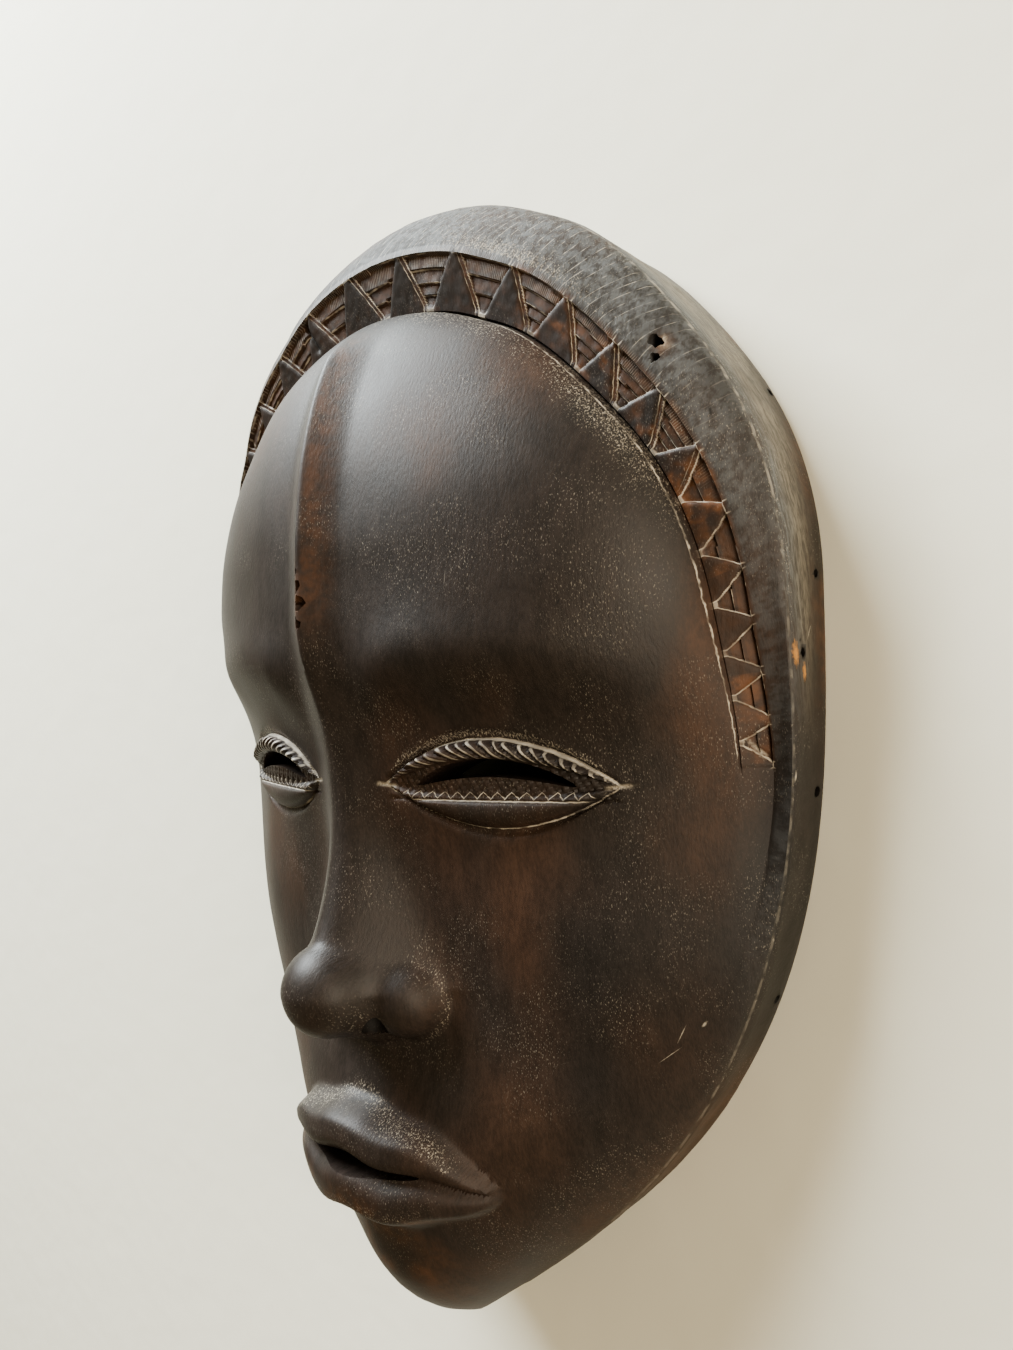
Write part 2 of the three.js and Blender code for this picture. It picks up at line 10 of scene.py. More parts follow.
import bpy
import numpy as np
from mathutils import Euler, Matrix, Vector


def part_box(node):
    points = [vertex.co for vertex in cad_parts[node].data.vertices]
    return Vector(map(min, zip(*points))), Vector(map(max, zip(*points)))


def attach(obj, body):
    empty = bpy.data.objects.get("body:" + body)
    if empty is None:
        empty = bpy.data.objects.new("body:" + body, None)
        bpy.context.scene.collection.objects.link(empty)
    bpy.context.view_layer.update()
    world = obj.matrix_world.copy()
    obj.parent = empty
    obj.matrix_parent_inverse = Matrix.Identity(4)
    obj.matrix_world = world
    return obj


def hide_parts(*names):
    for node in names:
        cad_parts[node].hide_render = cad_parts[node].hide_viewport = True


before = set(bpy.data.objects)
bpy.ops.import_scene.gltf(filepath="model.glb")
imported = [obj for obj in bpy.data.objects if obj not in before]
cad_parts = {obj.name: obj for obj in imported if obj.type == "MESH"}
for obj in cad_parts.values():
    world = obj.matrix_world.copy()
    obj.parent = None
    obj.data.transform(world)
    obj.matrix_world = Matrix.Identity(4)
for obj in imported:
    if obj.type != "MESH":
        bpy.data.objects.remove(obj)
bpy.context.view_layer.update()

bl_info = {
    "name": "Carved wooden mask",
    "version": (1, 0, 0),
    "blender": (4, 5, 0),
    "location": "View3D > Sidebar > Mask",
    "description": "Carves a dark wooden face mask round its packed solid",
    "category": "Add Mesh",
}

MM = 0.001
LOW, HIGH = (np.array(corner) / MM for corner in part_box("mask"))
WIDTH, HEIGHT, DEPTH = HIGH - LOW
TOP = HEIGHT / 2
SIDE = WIDTH / 2

# Wood left round the hollow
WALL = 12.0
RIM_WIDTH = 11.0
RIM_BRIDGE = 1.5  # last strip of the rim, which joins the outside to the hollow

# Side wall, bevel and carved border: at the crown and at the temples
SIDE_CROWN, SIDE_TEMPLE, SIDE_CHIN = 28.0, 14.6, 17.0
BEVEL_CROWN, BEVEL_TEMPLE = 14.0, 3.6
BORDER_CROWN, BORDER_TEMPLE = 11.5, 3.7
BORDER_OUTER_CROWN, BORDER_OUTER_TEMPLE = 40.0, 13.8
BORDER_INNER_CROWN, BORDER_INNER_TEMPLE = 36.0, 19.4
BORDER_END = 0.012 * HEIGHT
GROOVE_DEPTH = 0.9

# Outline
WIDEST_Y = 0.152 * HEIGHT
LOWER_POWER = 2.95
CHIN_ROUNDING = 0.018 * HEIGHT
CHIN_ROUNDING_REACH = 0.06 * WIDTH
GAUGE_Y = 0.04 * HEIGHT

# Rings of the front, from 0 on the gauge point to 1 on the outline, then down the side and across the rim
RING_DOME, RING_GROOVE, RING_BORDER, RING_BEVEL = 0.796, 0.8, 0.804, 0.9
RING_FOOT, RING_RIM = 1.1, 1.15


def clamp01(value):
    return np.clip(value, 0.0, 1.0)


def mix(a, b, t):
    return a + (b - a) * t


def ease(value, low, high):
    t = clamp01((value - low) / (high - low))
    return t * t * (3 - 2 * t)


def bump(distance):
    return np.exp(-distance * distance)


def arch(t):
    return np.maximum(0.0, 1 - t * t)


def soft_max(a, b, blend):
    return (a + b + np.hypot(a - b, blend)) / 2


TABLE = 64  # side of the tables of random values, which repeat past it


def mottle(x, y, size, seed):
    """Smooth random values from -1 to 1 that change over the given length."""
    table = np.random.default_rng(seed).uniform(-1, 1, (TABLE, TABLE))
    gx, gy = np.asarray(x) / size + 500.3, np.asarray(y) / size + 500.7
    ix, iy = np.floor(gx).astype(int), np.floor(gy).astype(int)
    fx, fy = ease(gx - ix, 0, 1), ease(gy - iy, 0, 1)

    def row(iy):
        return mix(table[ix % TABLE, iy % TABLE], table[(ix + 1) % TABLE, iy % TABLE], fx)

    return mix(row(iy), row(iy + 1), fy)


def scoops(x, y, size, seed):
    """Depth of round tool scoops that meet in crests: 1 in the middle of a scoop, 0 on a crest."""
    table = np.random.default_rng(seed).uniform(0.15, 0.85, (TABLE, TABLE, 2))
    gx, gy = x / size + 500.0, y / size + 500.0
    ix, iy = np.floor(gx).astype(int), np.floor(gy).astype(int)
    nearest = np.full(np.shape(gx), 9.0)
    for dx in (-1, 0, 1):
        for dy in (-1, 0, 1):
            cell = table[(ix + dx) % TABLE, (iy + dy) % TABLE]
            away = np.hypot(ix + dx + cell[..., 0] - gx, iy + dy + cell[..., 1] - gy)
            nearest = np.minimum(nearest, away)
    return arch(nearest / 0.85)


# Outline and the gauges that run round the mask


def polar(u, v):
    return np.hypot(u, v), np.arctan2(v, u)


def in_plan(r, angle):
    """The place at a distance and direction from the gauge point."""
    return r * np.cos(angle), GAUGE_Y + r * np.sin(angle)


def outline_half(y):
    fall = np.maximum(0.0, (WIDEST_Y - y) / (WIDEST_Y + TOP))
    half = SIDE * (1 - fall**LOWER_POWER)
    half = np.maximum(half, 0)
    rounding = CHIN_ROUNDING * np.exp(-half / CHIN_ROUNDING_REACH)
    lower = np.sqrt(half * half + 2 * half * rounding)
    rise = clamp01((y - WIDEST_Y) / (TOP - WIDEST_Y))
    upper = SIDE * np.sqrt(1 - rise * rise)
    return np.where(np.abs(y) >= TOP, 0.0, np.where(y >= WIDEST_Y, upper, lower))


# Flat places that the knife left on the outline: direction, spread, depth
FLATS = ((0.9, 0.2, 1.5), (1.25, 0.07, 0.4), (1.95, 0.08, 0.6), (2.27, 0.07, 0.7), (2.52, 0.08, 0.6))


def make_reach():
    angles = np.linspace(-np.pi, np.pi, 4097)
    inside, outside = np.zeros_like(angles), np.full_like(angles, HEIGHT)
    for _ in range(40):
        r = (inside + outside) / 2
        within = np.abs(r * np.cos(angles)) < outline_half(GAUGE_Y + r * np.sin(angles))
        inside, outside = np.where(within, r, inside), np.where(within, outside, r)
    reach = inside
    for at, spread, depth in FLATS:
        reach = reach - depth * bump((angles - at) / spread)
    return angles, reach


REACH = make_reach()


def reach_of(angle):
    return np.interp(angle, *REACH)


def gauge_at(angle):
    """Everything that runs round the mask, for directions from the gauge point."""
    reach = reach_of(angle)
    rim_y = GAUGE_Y + reach * np.sin(angle)
    rise = (rim_y - BORDER_END) / (TOP - BORDER_END)
    up = (rise + np.hypot(rise, 0.1)) / 2
    down = clamp01((BORDER_END - rim_y) / (TOP + BORDER_END))
    outer = 1 - mix(BEVEL_TEMPLE, BEVEL_CROWN, up) / reach
    return {
        "reach": reach,
        "up": up,
        "outer": outer,
        "inner": outer - mix(BORDER_TEMPLE, BORDER_CROWN, up) / reach,
        "side": mix(SIDE_TEMPLE, SIDE_CROWN, up) + (SIDE_CHIN - SIDE_TEMPLE) * down**2,
        "outer_z": mix(BORDER_OUTER_TEMPLE, BORDER_OUTER_CROWN, up),
        "inner_z": mix(BORDER_INNER_TEMPLE, BORDER_INNER_CROWN, up),
    }


def make_border_edge():
    angles = np.linspace(-np.pi / 2, np.pi / 2, 481)
    g = gauge_at(angles)
    x, y = in_plan(g["inner"] * g["reach"], angles)
    return y, x, g["inner_z"]


BORDER_EDGE = make_border_edge()
FOREHEAD_TOP = float(BORDER_EDGE[0][-1])

# Face on a canon: places as shares of the height, widths of the width, reliefs of the depth
CREST_Y = 0.18 * HEIGHT
CREST_Z = 0.865 * DEPTH
DOME_POWER = 0.6
MIDLINE = (
    (-0.5, 0.26),
    (-0.475, 0.41),
    (-0.43, 0.54),
    (-0.37, 0.625),
    (-0.29, 0.665),
    (-0.2, 0.64),
    (-0.12, 0.645),
    (-0.04, 0.69),
    (0.04, 0.785),
    (0.1, 0.855),
    (0.18, 0.865),
    (0.26, 0.855),
)


def smooth_curve(points, steps=24):
    """A smooth curve through points that are given from left to right."""
    p = np.array(points, float)
    slopes = np.gradient(p[:, 1], p[:, 0])
    xs, ys = [], []
    for (x0, y0), (x1, y1), m0, m1 in zip(p, p[1:], slopes, slopes[1:]):
        t = np.linspace(0, 1, steps, endpoint=False)
        h = x1 - x0
        blend = 3 * t**2 - 2 * t**3
        xs.extend(x0 + h * t)
        ys.extend(y0 + (y1 - y0) * blend + h * (m0 * t * (1 - t) ** 2 - m1 * t**2 * (1 - t)))
    return np.array(xs + [p[-1, 0]]), np.array(ys + [p[-1, 1]])


MIDLINE_CURVE = smooth_curve(MIDLINE)


def midline(y):
    low = np.interp(y / HEIGHT, *MIDLINE_CURVE) * DEPTH
    t = clamp01((y - CREST_Y) / (FOREHEAD_TOP - CREST_Y))
    high = BORDER_INNER_CROWN + (CREST_Z - BORDER_INNER_CROWN) * (1 - t * t) ** DOME_POWER
    return np.where(y > CREST_Y, high, low)


def fullness(y):
    share = y / HEIGHT
    brow = mix(0.95, DOME_POWER, ease(share, 0, 0.16))
    cheek = mix(0.8, brow, ease(share, -0.2, 0))
    return mix(0.62, cheek, ease(share, -0.5, -0.22))


FACE_FADE = 0.17 * HEIGHT


def skin(x, y, strip):
    """Forehead and cheeks, without features."""
    edge_x, edge_z = (np.interp(y, BORDER_EDGE[0], values) for values in BORDER_EDGE[1:])
    power = fullness(y)
    top = midline(y)
    across = np.abs(x) / np.maximum(edge_x, 1e-6)
    dome = edge_z + (top - edge_z) * arch(across) ** power
    upper = np.where(strip["outside"], strip["height"], dome)
    half = outline_half(y)
    share = clamp01(np.abs(x) / np.maximum(half, 1e-6))
    lower = strip["side"] + (top - strip["side"]) * np.maximum(0, 1 - share**2.1) ** power
    return mix(lower, upper, ease(y, BORDER_END - FACE_FADE, BORDER_END))


# Eyes
EYE_X = 0.2 * WIDTH
EYE_HALF = 0.135 * WIDTH
EYE_UP = 0.036 * HEIGHT
EYE_DOWN = 0.032 * HEIGHT
LID_SHARE = 0.4
SLIT_HEIGHT, SLIT_LENGTH = 3.6, 31.0
SLIT_SAG = EYE_UP * (1 - LID_SHARE) - SLIT_HEIGHT / 2


def eye_relief(x, y):
    across = (np.abs(x) - EYE_X) / EYE_HALF
    arc = arch(across)
    safe = np.maximum(arc, 1e-6)
    socket = -0.055 * DEPTH * bump(np.hypot(across / 1.25, (y - 0.01 * HEIGHT) / (0.055 * HEIGHT)))
    mound = 0.05 * DEPTH * bump(np.hypot(across / 0.95, y / (0.045 * HEIGHT)))
    up, down = y / (EYE_UP * safe), -y / (EYE_DOWN * safe)
    size = np.minimum(1, 2.2 * arc)
    upper = 0.03 * DEPTH * arch((up - 1 + LID_SHARE / 2) / (LID_SHARE * 0.62))
    lower = 0.022 * DEPTH * arch((down - 0.66) / 0.4)
    relief = np.where(y > 0, upper, lower)
    relief -= 0.014 * DEPTH * (bump((up - 1.12) / 0.1) + bump((down - 1.12) / 0.12))
    return socket + mound + np.where(arc > 0, relief * size, 0)


# Nose
NOSE_TIP_Y = -0.165 * HEIGHT
NOSE_ROOT_Y = 0.03 * HEIGHT
NOSE_ROOT_Z = 0.74 * DEPTH
NOSE_TIP_Z = 0.93 * DEPTH
NOSE_TIP_BLEND = 0.01 * DEPTH
NOSE_TIP_RADIUS = 0.056 * WIDTH
WING_X = 0.068 * WIDTH
WING_Y = -0.174 * HEIGHT
WING_RADIUS = 0.047 * WIDTH
WING_Z = 0.68 * DEPTH


def ball(x, y, cx, cy, cz, radius):
    away = np.hypot(x - cx, y - cy)
    inside = cz + np.sqrt(np.maximum(radius * radius - away * away, 0))
    return np.where(away < radius, inside, cz - 3 * (away - radius))


def nose(x, y, face):
    along = (NOSE_ROOT_Y - y) / (NOSE_ROOT_Y - NOSE_TIP_Y)
    sag = 0.02 * DEPTH * np.sin(np.pi * clamp01(along))
    crest = mix(NOSE_ROOT_Z, NOSE_TIP_Z, along) - sag
    rounding = 0.034 * WIDTH
    under = np.maximum(0, NOSE_TIP_Y - y)
    bridge = crest - 1.4 * (np.hypot(x, rounding) - rounding) - 3 * under
    tip = ball(x, y, 0, NOSE_TIP_Y, DEPTH - NOSE_TIP_RADIUS - NOSE_TIP_BLEND, NOSE_TIP_RADIUS)
    wing = ball(np.abs(x), y, WING_X, WING_Y, WING_Z, WING_RADIUS)
    body = soft_max(tip, bridge, 0.05 * DEPTH)
    blend = mix(0.12, 0.06, ease(along, 0.1, 0.6)) * DEPTH
    return soft_max(soft_max(face, body, blend), wing, 0.045 * DEPTH)


# Mouth
MOUTH_Y = -0.306 * HEIGHT
MOUTH_HALF = 0.18 * WIDTH
UPPER_LIP = 0.044 * HEIGHT
LOWER_LIP = 0.05 * HEIGHT
LIP_RELIEF = 0.1 * DEPTH
MOUTH_GAP, MOUTH_GAP_LENGTH = 3.6, 34.0


def parting_y(across):
    return MOUTH_Y - 0.016 * HEIGHT * across**2 + 0.004 * HEIGHT * np.cos(3 * np.pi * across) * arch(across)


def mouth_relief(x, y):
    across = np.abs(x) / MOUTH_HALF
    mound = 0.085 * DEPTH * bump(np.hypot(across, (y - MOUTH_Y) / (0.085 * HEIGHT)))
    arc = arch(across)
    safe = np.maximum(arc, 1e-6)
    parting = parting_y(across)
    bow = 1 - 0.16 * bump(across / 0.17)
    upper = (y - parting) / (UPPER_LIP * bow * safe**0.75)
    lower = (parting - y) / (LOWER_LIP * safe**0.7)
    t = np.where(y > parting, upper, lower)
    lip = ease(1.2 - t, 0, 0.45) * (1 - 0.5 * bump(t / 0.22))
    return mound + np.where(arc > 0, LIP_RELIEF * lip * safe**0.45 * ease(arc, 0, 0.12), 0)


# Ridge down the forehead
RIDGE_HEIGHT, RIDGE_WIDTH = 4.5, 18.0


def ridge_relief(x, y):
    foot = ease(y, NOSE_ROOT_Y - 0.1 * HEIGHT, NOSE_ROOT_Y)
    rise = foot * mix(0.45, 1, ease(y, NOSE_ROOT_Y, 0.14 * HEIGHT))
    keel = np.maximum(0, 1 - np.hypot(x, 0.4) / (RIDGE_WIDTH / 2))
    return RIDGE_HEIGHT * rise * ease(FOREHEAD_TOP - y, 0, 0.05 * HEIGHT) * keel**1.5


def front_height(x, y, strip):
    """Height of the carved front at a point in plan."""
    plain = skin(x, y, strip)
    wide = np.abs(x) / WIDTH
    lift = 0.9 * (wide * WIDTH - EYE_X) ** 2 / WIDTH
    brow = 0.03 * DEPTH * bump((y - 0.1 * HEIGHT + lift) / (0.03 * HEIGHT))
    z = plain + brow * ease(0.42 - wide, 0, 0.15) * ease(wide, 0.02, 0.12)
    z = z + 0.025 * DEPTH * bump(np.hypot((wide - 0.28) / 0.1, (y + 0.11 * HEIGHT) / (0.07 * HEIGHT)))
    z = z + 0.05 * DEPTH * bump(np.hypot(wide / 0.09, (y + 0.43 * HEIGHT) / (0.045 * HEIGHT)))
    z = z + eye_relief(x, y) + mouth_relief(x, y) + ridge_relief(x, y)
    return np.where(strip["outside"] & (y > BORDER_END), plain, nose(x, y, z))


# Carved border

BORDER_CELLS = 25
PITCH_EASE = 0.21
CELL_OUTER, CELL_INNER = 0.96, 0.08
CELL_BROAD, CELL_NARROW = 0.84, 0.12
FACET_WIDTH = 0.85
HATCH_PITCH = 0.6
LAST_CELL = BORDER_CELLS // 2 + 1
CELL_ERRORS = np.random.default_rng(11).uniform(-1, 1, (2 * LAST_CELL + 1, 8))
# The strip along the outer edge and the line that cuts it off, as shares of the border's width
OUTER_STRIP, OUTER_LINE = 1.03, 0.985
# Places of single cuts, in cells from the crown
END_GOUGE, END_CUT, STRAY_GOUGE = 12.15, 12.62, -1.62
END_ANGLE = math.asin((BORDER_END - GAUGE_Y) / float(reach_of(0.0)))


def border_step(angle):
    """Place along the border in cells: 0 at the crown, growing to the right."""
    eased = (np.pi / 2 - run_of(angle)) / (np.pi / 2 - END_ANGLE)
    size = np.minimum(np.abs(eased), 1.25)
    root = np.sqrt(np.maximum((1 + PITCH_EASE) ** 2 - 4 * PITCH_EASE * size, 0))
    return np.sign(eased) * (1 + PITCH_EASE - root) / (2 * PITCH_EASE) * BORDER_CELLS / 2


def share_of_ring(ring, g):
    share = ring / RING_GROOVE * g["inner"]
    in_border = mix(g["inner"], g["outer"], (ring - RING_GROOVE) / (RING_BEVEL - RING_GROOVE))
    share = np.where(ring > RING_GROOVE, in_border, share)
    return np.where(ring > RING_BEVEL, mix(g["outer"], 1, (ring - RING_BEVEL) / (1 - RING_BEVEL)), share)


def ring_of_share(share, g):
    ring = share / g["inner"] * RING_GROOVE
    in_border = RING_GROOVE + (share - g["inner"]) / (g["outer"] - g["inner"]) * (RING_BEVEL - RING_GROOVE)
    ring = np.where(share > g["inner"], in_border, ring)
    on_bevel = RING_BEVEL + (share - g["outer"]) / (1 - g["outer"]) * (1 - RING_BEVEL)
    return np.where(share > g["outer"], on_bevel, ring)


def base_front(x, y, ring, g):
    """The front at low relief: no ornament, no tool marks."""
    in_border = clamp01((ring - RING_GROOVE) / (RING_BEVEL - RING_GROOVE))
    on_bevel = clamp01((ring - RING_BEVEL) / (1 - RING_BEVEL))
    height = mix(mix(g["inner_z"], g["outer_z"], in_border), g["side"], on_bevel**1.3)
    strip = {"height": height, "side": g["side"], "outside": ring >= RING_GROOVE - 1e-9}
    groove = arch((ring - RING_GROOVE) / (RING_GROOVE - RING_DOME)) * ease(y, BORDER_END - 2, BORDER_END)
    return front_height(x, y, strip) - GROOVE_DEPTH * mix(0.4, 1, ease(g["up"], 0.3, 0.8)) * groove


MASKS = ("chatter", "dust", "haze", "wear", "grey", "dark")


class Marks(dict):
    """Masks for the colours, one value at each point. Of what is added, the strongest stays.

    Chatter of the knife, dust in cuts, a haze of fine dust, orange wear, grey weathering and dark marks,
    which include painted shade in the groove and in holes.
    """

    def __init__(self, count):
        super().__init__((name, np.zeros(count)) for name in MASKS)

    def add(self, **values):
        for name, value in values.items():
            self[name] = np.maximum(self[name], value)


def stroke(distance, width):
    return bump(distance / width)


def run_of(angle):
    """The direction counted on from the chin, so that what runs round the mask has its seam there."""
    return np.where(angle < -np.pi / 2, angle + 2 * np.pi, angle)


def border_fields(angle, ring, g):
    """Where a point lies in its cell of the border. Distances from the cuts are in millimetres."""
    s = border_step(angle)
    step_angle = 0.01
    steps = np.abs(border_step(angle - step_angle / 2) - border_step(angle + step_angle / 2))
    pitch = g["reach"] * (g["outer"] + g["inner"]) / 2 * step_angle / np.maximum(steps, 1e-6)
    t = (ring - RING_BORDER) / (RING_BEVEL - RING_BORDER)
    carved = (RING_BEVEL - RING_BORDER) / (RING_BEVEL - RING_GROOVE)
    width = (g["outer"] - g["inner"]) * g["reach"] * carved
    here = ease(t, -0.06, 0.0) * ease(1.05 - t, 0, 0.03) * ease(BORDER_CELLS / 2 + 0.12 - np.abs(s), 0, 0.1)
    # Each cell has its own small errors, so that no two are cut alike
    own = CELL_ERRORS[np.clip(np.round(s), -LAST_CELL, LAST_CELL).astype(int) + LAST_CELL]
    p = s - np.round(s) + 0.05 * own[:, 0] * (t - 0.5) + 0.03 * own[:, 1]
    across = clamp01((t - CELL_INNER) / (CELL_OUTER - CELL_INNER))
    half = 0.5 * mix(CELL_NARROW, CELL_BROAD, across)
    lean = np.hypot(1, (CELL_BROAD - CELL_NARROW) / 2 * pitch / ((CELL_OUTER - CELL_INNER) * width))
    plain = ease(s, 5.4, 7.6)
    treads = np.where(plain > 0.5, 2.0, np.where(own[:, 2] > 0.2, 4.0, 3.0))
    return {
        "s": s,
        "t": t,
        "p": p,
        "own": own,
        "here": here,
        "width": width,
        "pitch": pitch,
        "edge": (np.abs(p) - half) * pitch / lean,  # into the dark triangle
        "plain": plain,
        "rough": ease(-s, 3.5, 8),
        "phase": (1 - across) * treads + 0.18 * own[:, 3] * np.sin(np.pi * across) + 0.25 * own[:, 4] * p,
        "row": (CELL_OUTER - CELL_INNER) * width / treads,
    }


def border_relief(angle, ring, g, marks):
    """Triangles and hatched cells of the border. Returns the change of height."""
    f = border_fields(angle, ring, g)
    s, t, own, edge, here, plain, rough = (f[name] for name in "s t own edge here plain rough".split())
    rows = ease(t, CELL_INNER - 0.02, CELL_INNER + 0.03) * ease(CELL_OUTER + 0.03 - t, 0, 0.04)
    in_cell = ease(-edge, -0.12, 0.2) * rows

    # Treads: each row deep at its outer edge and shallow at its inner edge
    inside = f["phase"] - np.floor(f["phase"])
    rise = -1.05 * mix(1.0, 0.3, inside) * in_cell

    # Knife lines down both sides of each triangle, with a narrow facet inside the right-hand one
    right_side = (f["p"] < 0) * (1 - plain)
    facet = ease(edge, 0.1, 0.35) * ease(FACET_WIDTH - edge, -0.1, 0.25) * right_side
    rise += -0.24 * stroke(edge, 0.4) * rows - 0.22 * stroke(edge - FACET_WIDTH, 0.34) * rows * right_side
    rise += -0.3 * facet * rows
    marks.add(wear=0.8 * facet * rows * here)

    # Narrow raised strip along the outer edge, cut off from the bevel
    rise += 0.35 * (1 - 0.75 * plain) * stroke((t - OUTER_STRIP) * f["width"], 0.45)
    rise += -0.3 * (1 - 0.9 * plain) * stroke((t - OUTER_LINE) * f["width"], 0.3)

    # Orange wood shows on the worn triangles, most on the right
    along_mm = s * f["pitch"]
    worn = ease(s, -3.5, 3.5) * (0.6 + 0.4 * own[:, 7])
    spots = ease(mottle(along_mm, t * f["width"], 1.9, 9), -0.35, 0.6)
    marks.add(wear=worn * mix(spots, 1, 0.55 * plain) * here)
    marks.add(wear=0.3 * here * ease(mottle(along_mm, t * f["width"], 1.3, 10), 0.0, 0.8))
    marks.add(grey=0.6 * rough * here, wear=0.45 * in_cell * here)
    marks.add(haze=(0.08 + 0.42 * rough + 0.12 * in_cell) * here)
    rise += 0.2 * mottle(along_mm, t * f["width"], 1.1, 17) * (0.35 + 0.65 * rough)

    # The border ends on the right in a leaf-shaped gouge and a level cut
    gouge = stroke((s - END_GOUGE - 0.45 * (t - 0.45)) * f["pitch"], 0.6)
    rise += -0.5 * gouge * ease(t, 0.05, 0.25) * ease(0.95 - t, 0, 0.2)
    rise += -0.45 * stroke((s - END_CUT) * f["pitch"], 0.35) * rows

    # A stray gouge through one cell left of the crown
    stray = stroke((s - STRAY_GOUGE + 0.16 * (t - 0.5)) * f["pitch"], 0.6) * ease(t, 0.2, 0.35)
    rise += -0.8 * stray * rows
    marks.add(dark=0.8 * stray * rows * here)
    return rise * here


CORD_PITCH, LEAF_PITCH = 2.25, 2.7
ROW_FLOOR = -2.5  # lower line of the row under the slit


def eye_fields(x, y):
    """Distances in millimetres from the curves of the nearer eye, and places along its cords and leaves."""
    across = (np.abs(x) - EYE_X) / EYE_HALF
    arc = 1 - across**2
    slope = 2 * across / EYE_HALF
    above = (y - EYE_UP * arc) / np.hypot(1, slope * EYE_UP)
    return {
        "along": across * EYE_HALF,
        "arc": arc,
        "above": above,
        "below": (-y - EYE_DOWN * arc) / np.hypot(1, slope * EYE_DOWN),
        "inner": (y - EYE_UP * (1 - LID_SHARE) * arc) / np.hypot(1, slope * EYE_UP * 0.6),
        "cord": across * EYE_HALF / CORD_PITCH + 0.5 * above + 0.22 * mottle(x, y, 2.4, 23),
    }


def eye_carving(x, y, marks):
    """Cords on the upper lid, leaf strokes under the slit, a smooth lower lid and the cuts round them."""
    f = eye_fields(x, y)
    along, above, below, inner = (f[name] for name in "along above below inner".split())
    arc = np.maximum(f["arc"], 0)
    near = ease(arc, 0.0, 0.06)

    lid = ease(inner, -0.1, 0.4) * ease(-above, -0.1, 0.4) * (y > 0) * near
    twist = np.abs(f["cord"] - np.round(f["cord"])) * 2
    rise = lid * (0.4 * (1 - twist**2) - 0.5 * stroke(1 - twist, 0.24))
    marks.add(haze=0.35 * lid)

    band = ease(y, ROW_FLOOR - 0.1, ROW_FLOOR + 0.3) * (inner < 0) * near * (arc > 0.12)
    leaf = along / LEAF_PITCH + (y + 0.55) * 0.18
    part = np.abs(leaf - np.round(leaf)) * 2
    leaves = stroke((part - 0.75 + 0.25 * clamp01((y + 2.4) / 3)) * 1.3, 0.18)
    rise += band * (-0.35 * leaves + 0.12 * (1 - part))
    marks.add(haze=0.35 * band)

    rise += -0.5 * stroke(y - ROW_FLOOR + 0.35, 0.34) * near
    rise += -0.55 * stroke(above - 0.35, 0.42) * (y > -0.4) * near
    rise += -0.5 * stroke(below - 0.3, 0.4) * (y < 0.4) * near
    marks.add(haze=0.9 * stroke(above - 1.3, 1.7) * (y > 0) * (above > 0) * ease(arc, -0.1, 0.3))
    marks.add(haze=0.6 * stroke(below - 1.0, 1.2) * (y < 0) * (below > 0) * ease(arc, -0.1, 0.3))
    # Corners run out in short scratches
    for corner in (-1, 1):
        out = (along - corner * EYE_HALF) * corner
        tail = stroke(y + 0.1 - 0.12 * out, 0.3) * ease(2.6 - np.abs(out), 0, 1.2)
        rise += -0.35 * tail
        marks.add(dust=0.8 * tail)
    marks.add(dark=0.35 * ease(-y, 3.4, 4.2) * ease(-below, 0.2, 1.2) * near)
    return rise


def face_marks(x, y, marks):
    """Dust beside the wings of the nose and on the lips, rubbed wood on the lower lip and the chin."""
    wing = np.hypot(np.abs(x) - WING_X, y - WING_Y) - WING_RADIUS
    marks.add(haze=0.75 * stroke(wing - 1.2, 1.4) * ease(np.abs(x), WING_X - 2, WING_X + 5))
    across = np.abs(x) / MOUTH_HALF
    arc = np.maximum(arch(across), 1e-3)
    above = y - parting_y(across)
    marks.add(haze=0.84 * stroke(above - UPPER_LIP * arc * 1.05, 2.8) * ease(arc, 0.05, 0.5))
    marks.add(haze=0.5 * stroke(above + 0.6, 1.0) * ease(arc, -0.1, 0.3))
    low = stroke(above + LOWER_LIP * arc * 0.75, 3.6) * ease(arc, 0.2, 0.8)
    marks.add(haze=0.72 * low)
    marks.add(wear=0.5 * low * ease(mottle(x, y, 4, 81), -0.2, 0.6))
    chin = bump(np.hypot(x / 16, (y + 0.4 * HEIGHT) / 9))
    marks.add(wear=0.6 * chin * ease(mottle(x, y, 5, 82), -0.1, 0.7))


def edge_of_dome(ring, g):
    """Millimetres outwards from the edge of the forehead."""
    return (ring - RING_DOME) / RING_GROOVE * g["inner"] * g["reach"]


RIDGE_LINE = -1.9  # knife line beside the ridge
CHIPPED_PLACE = (-0.7, 37.5)


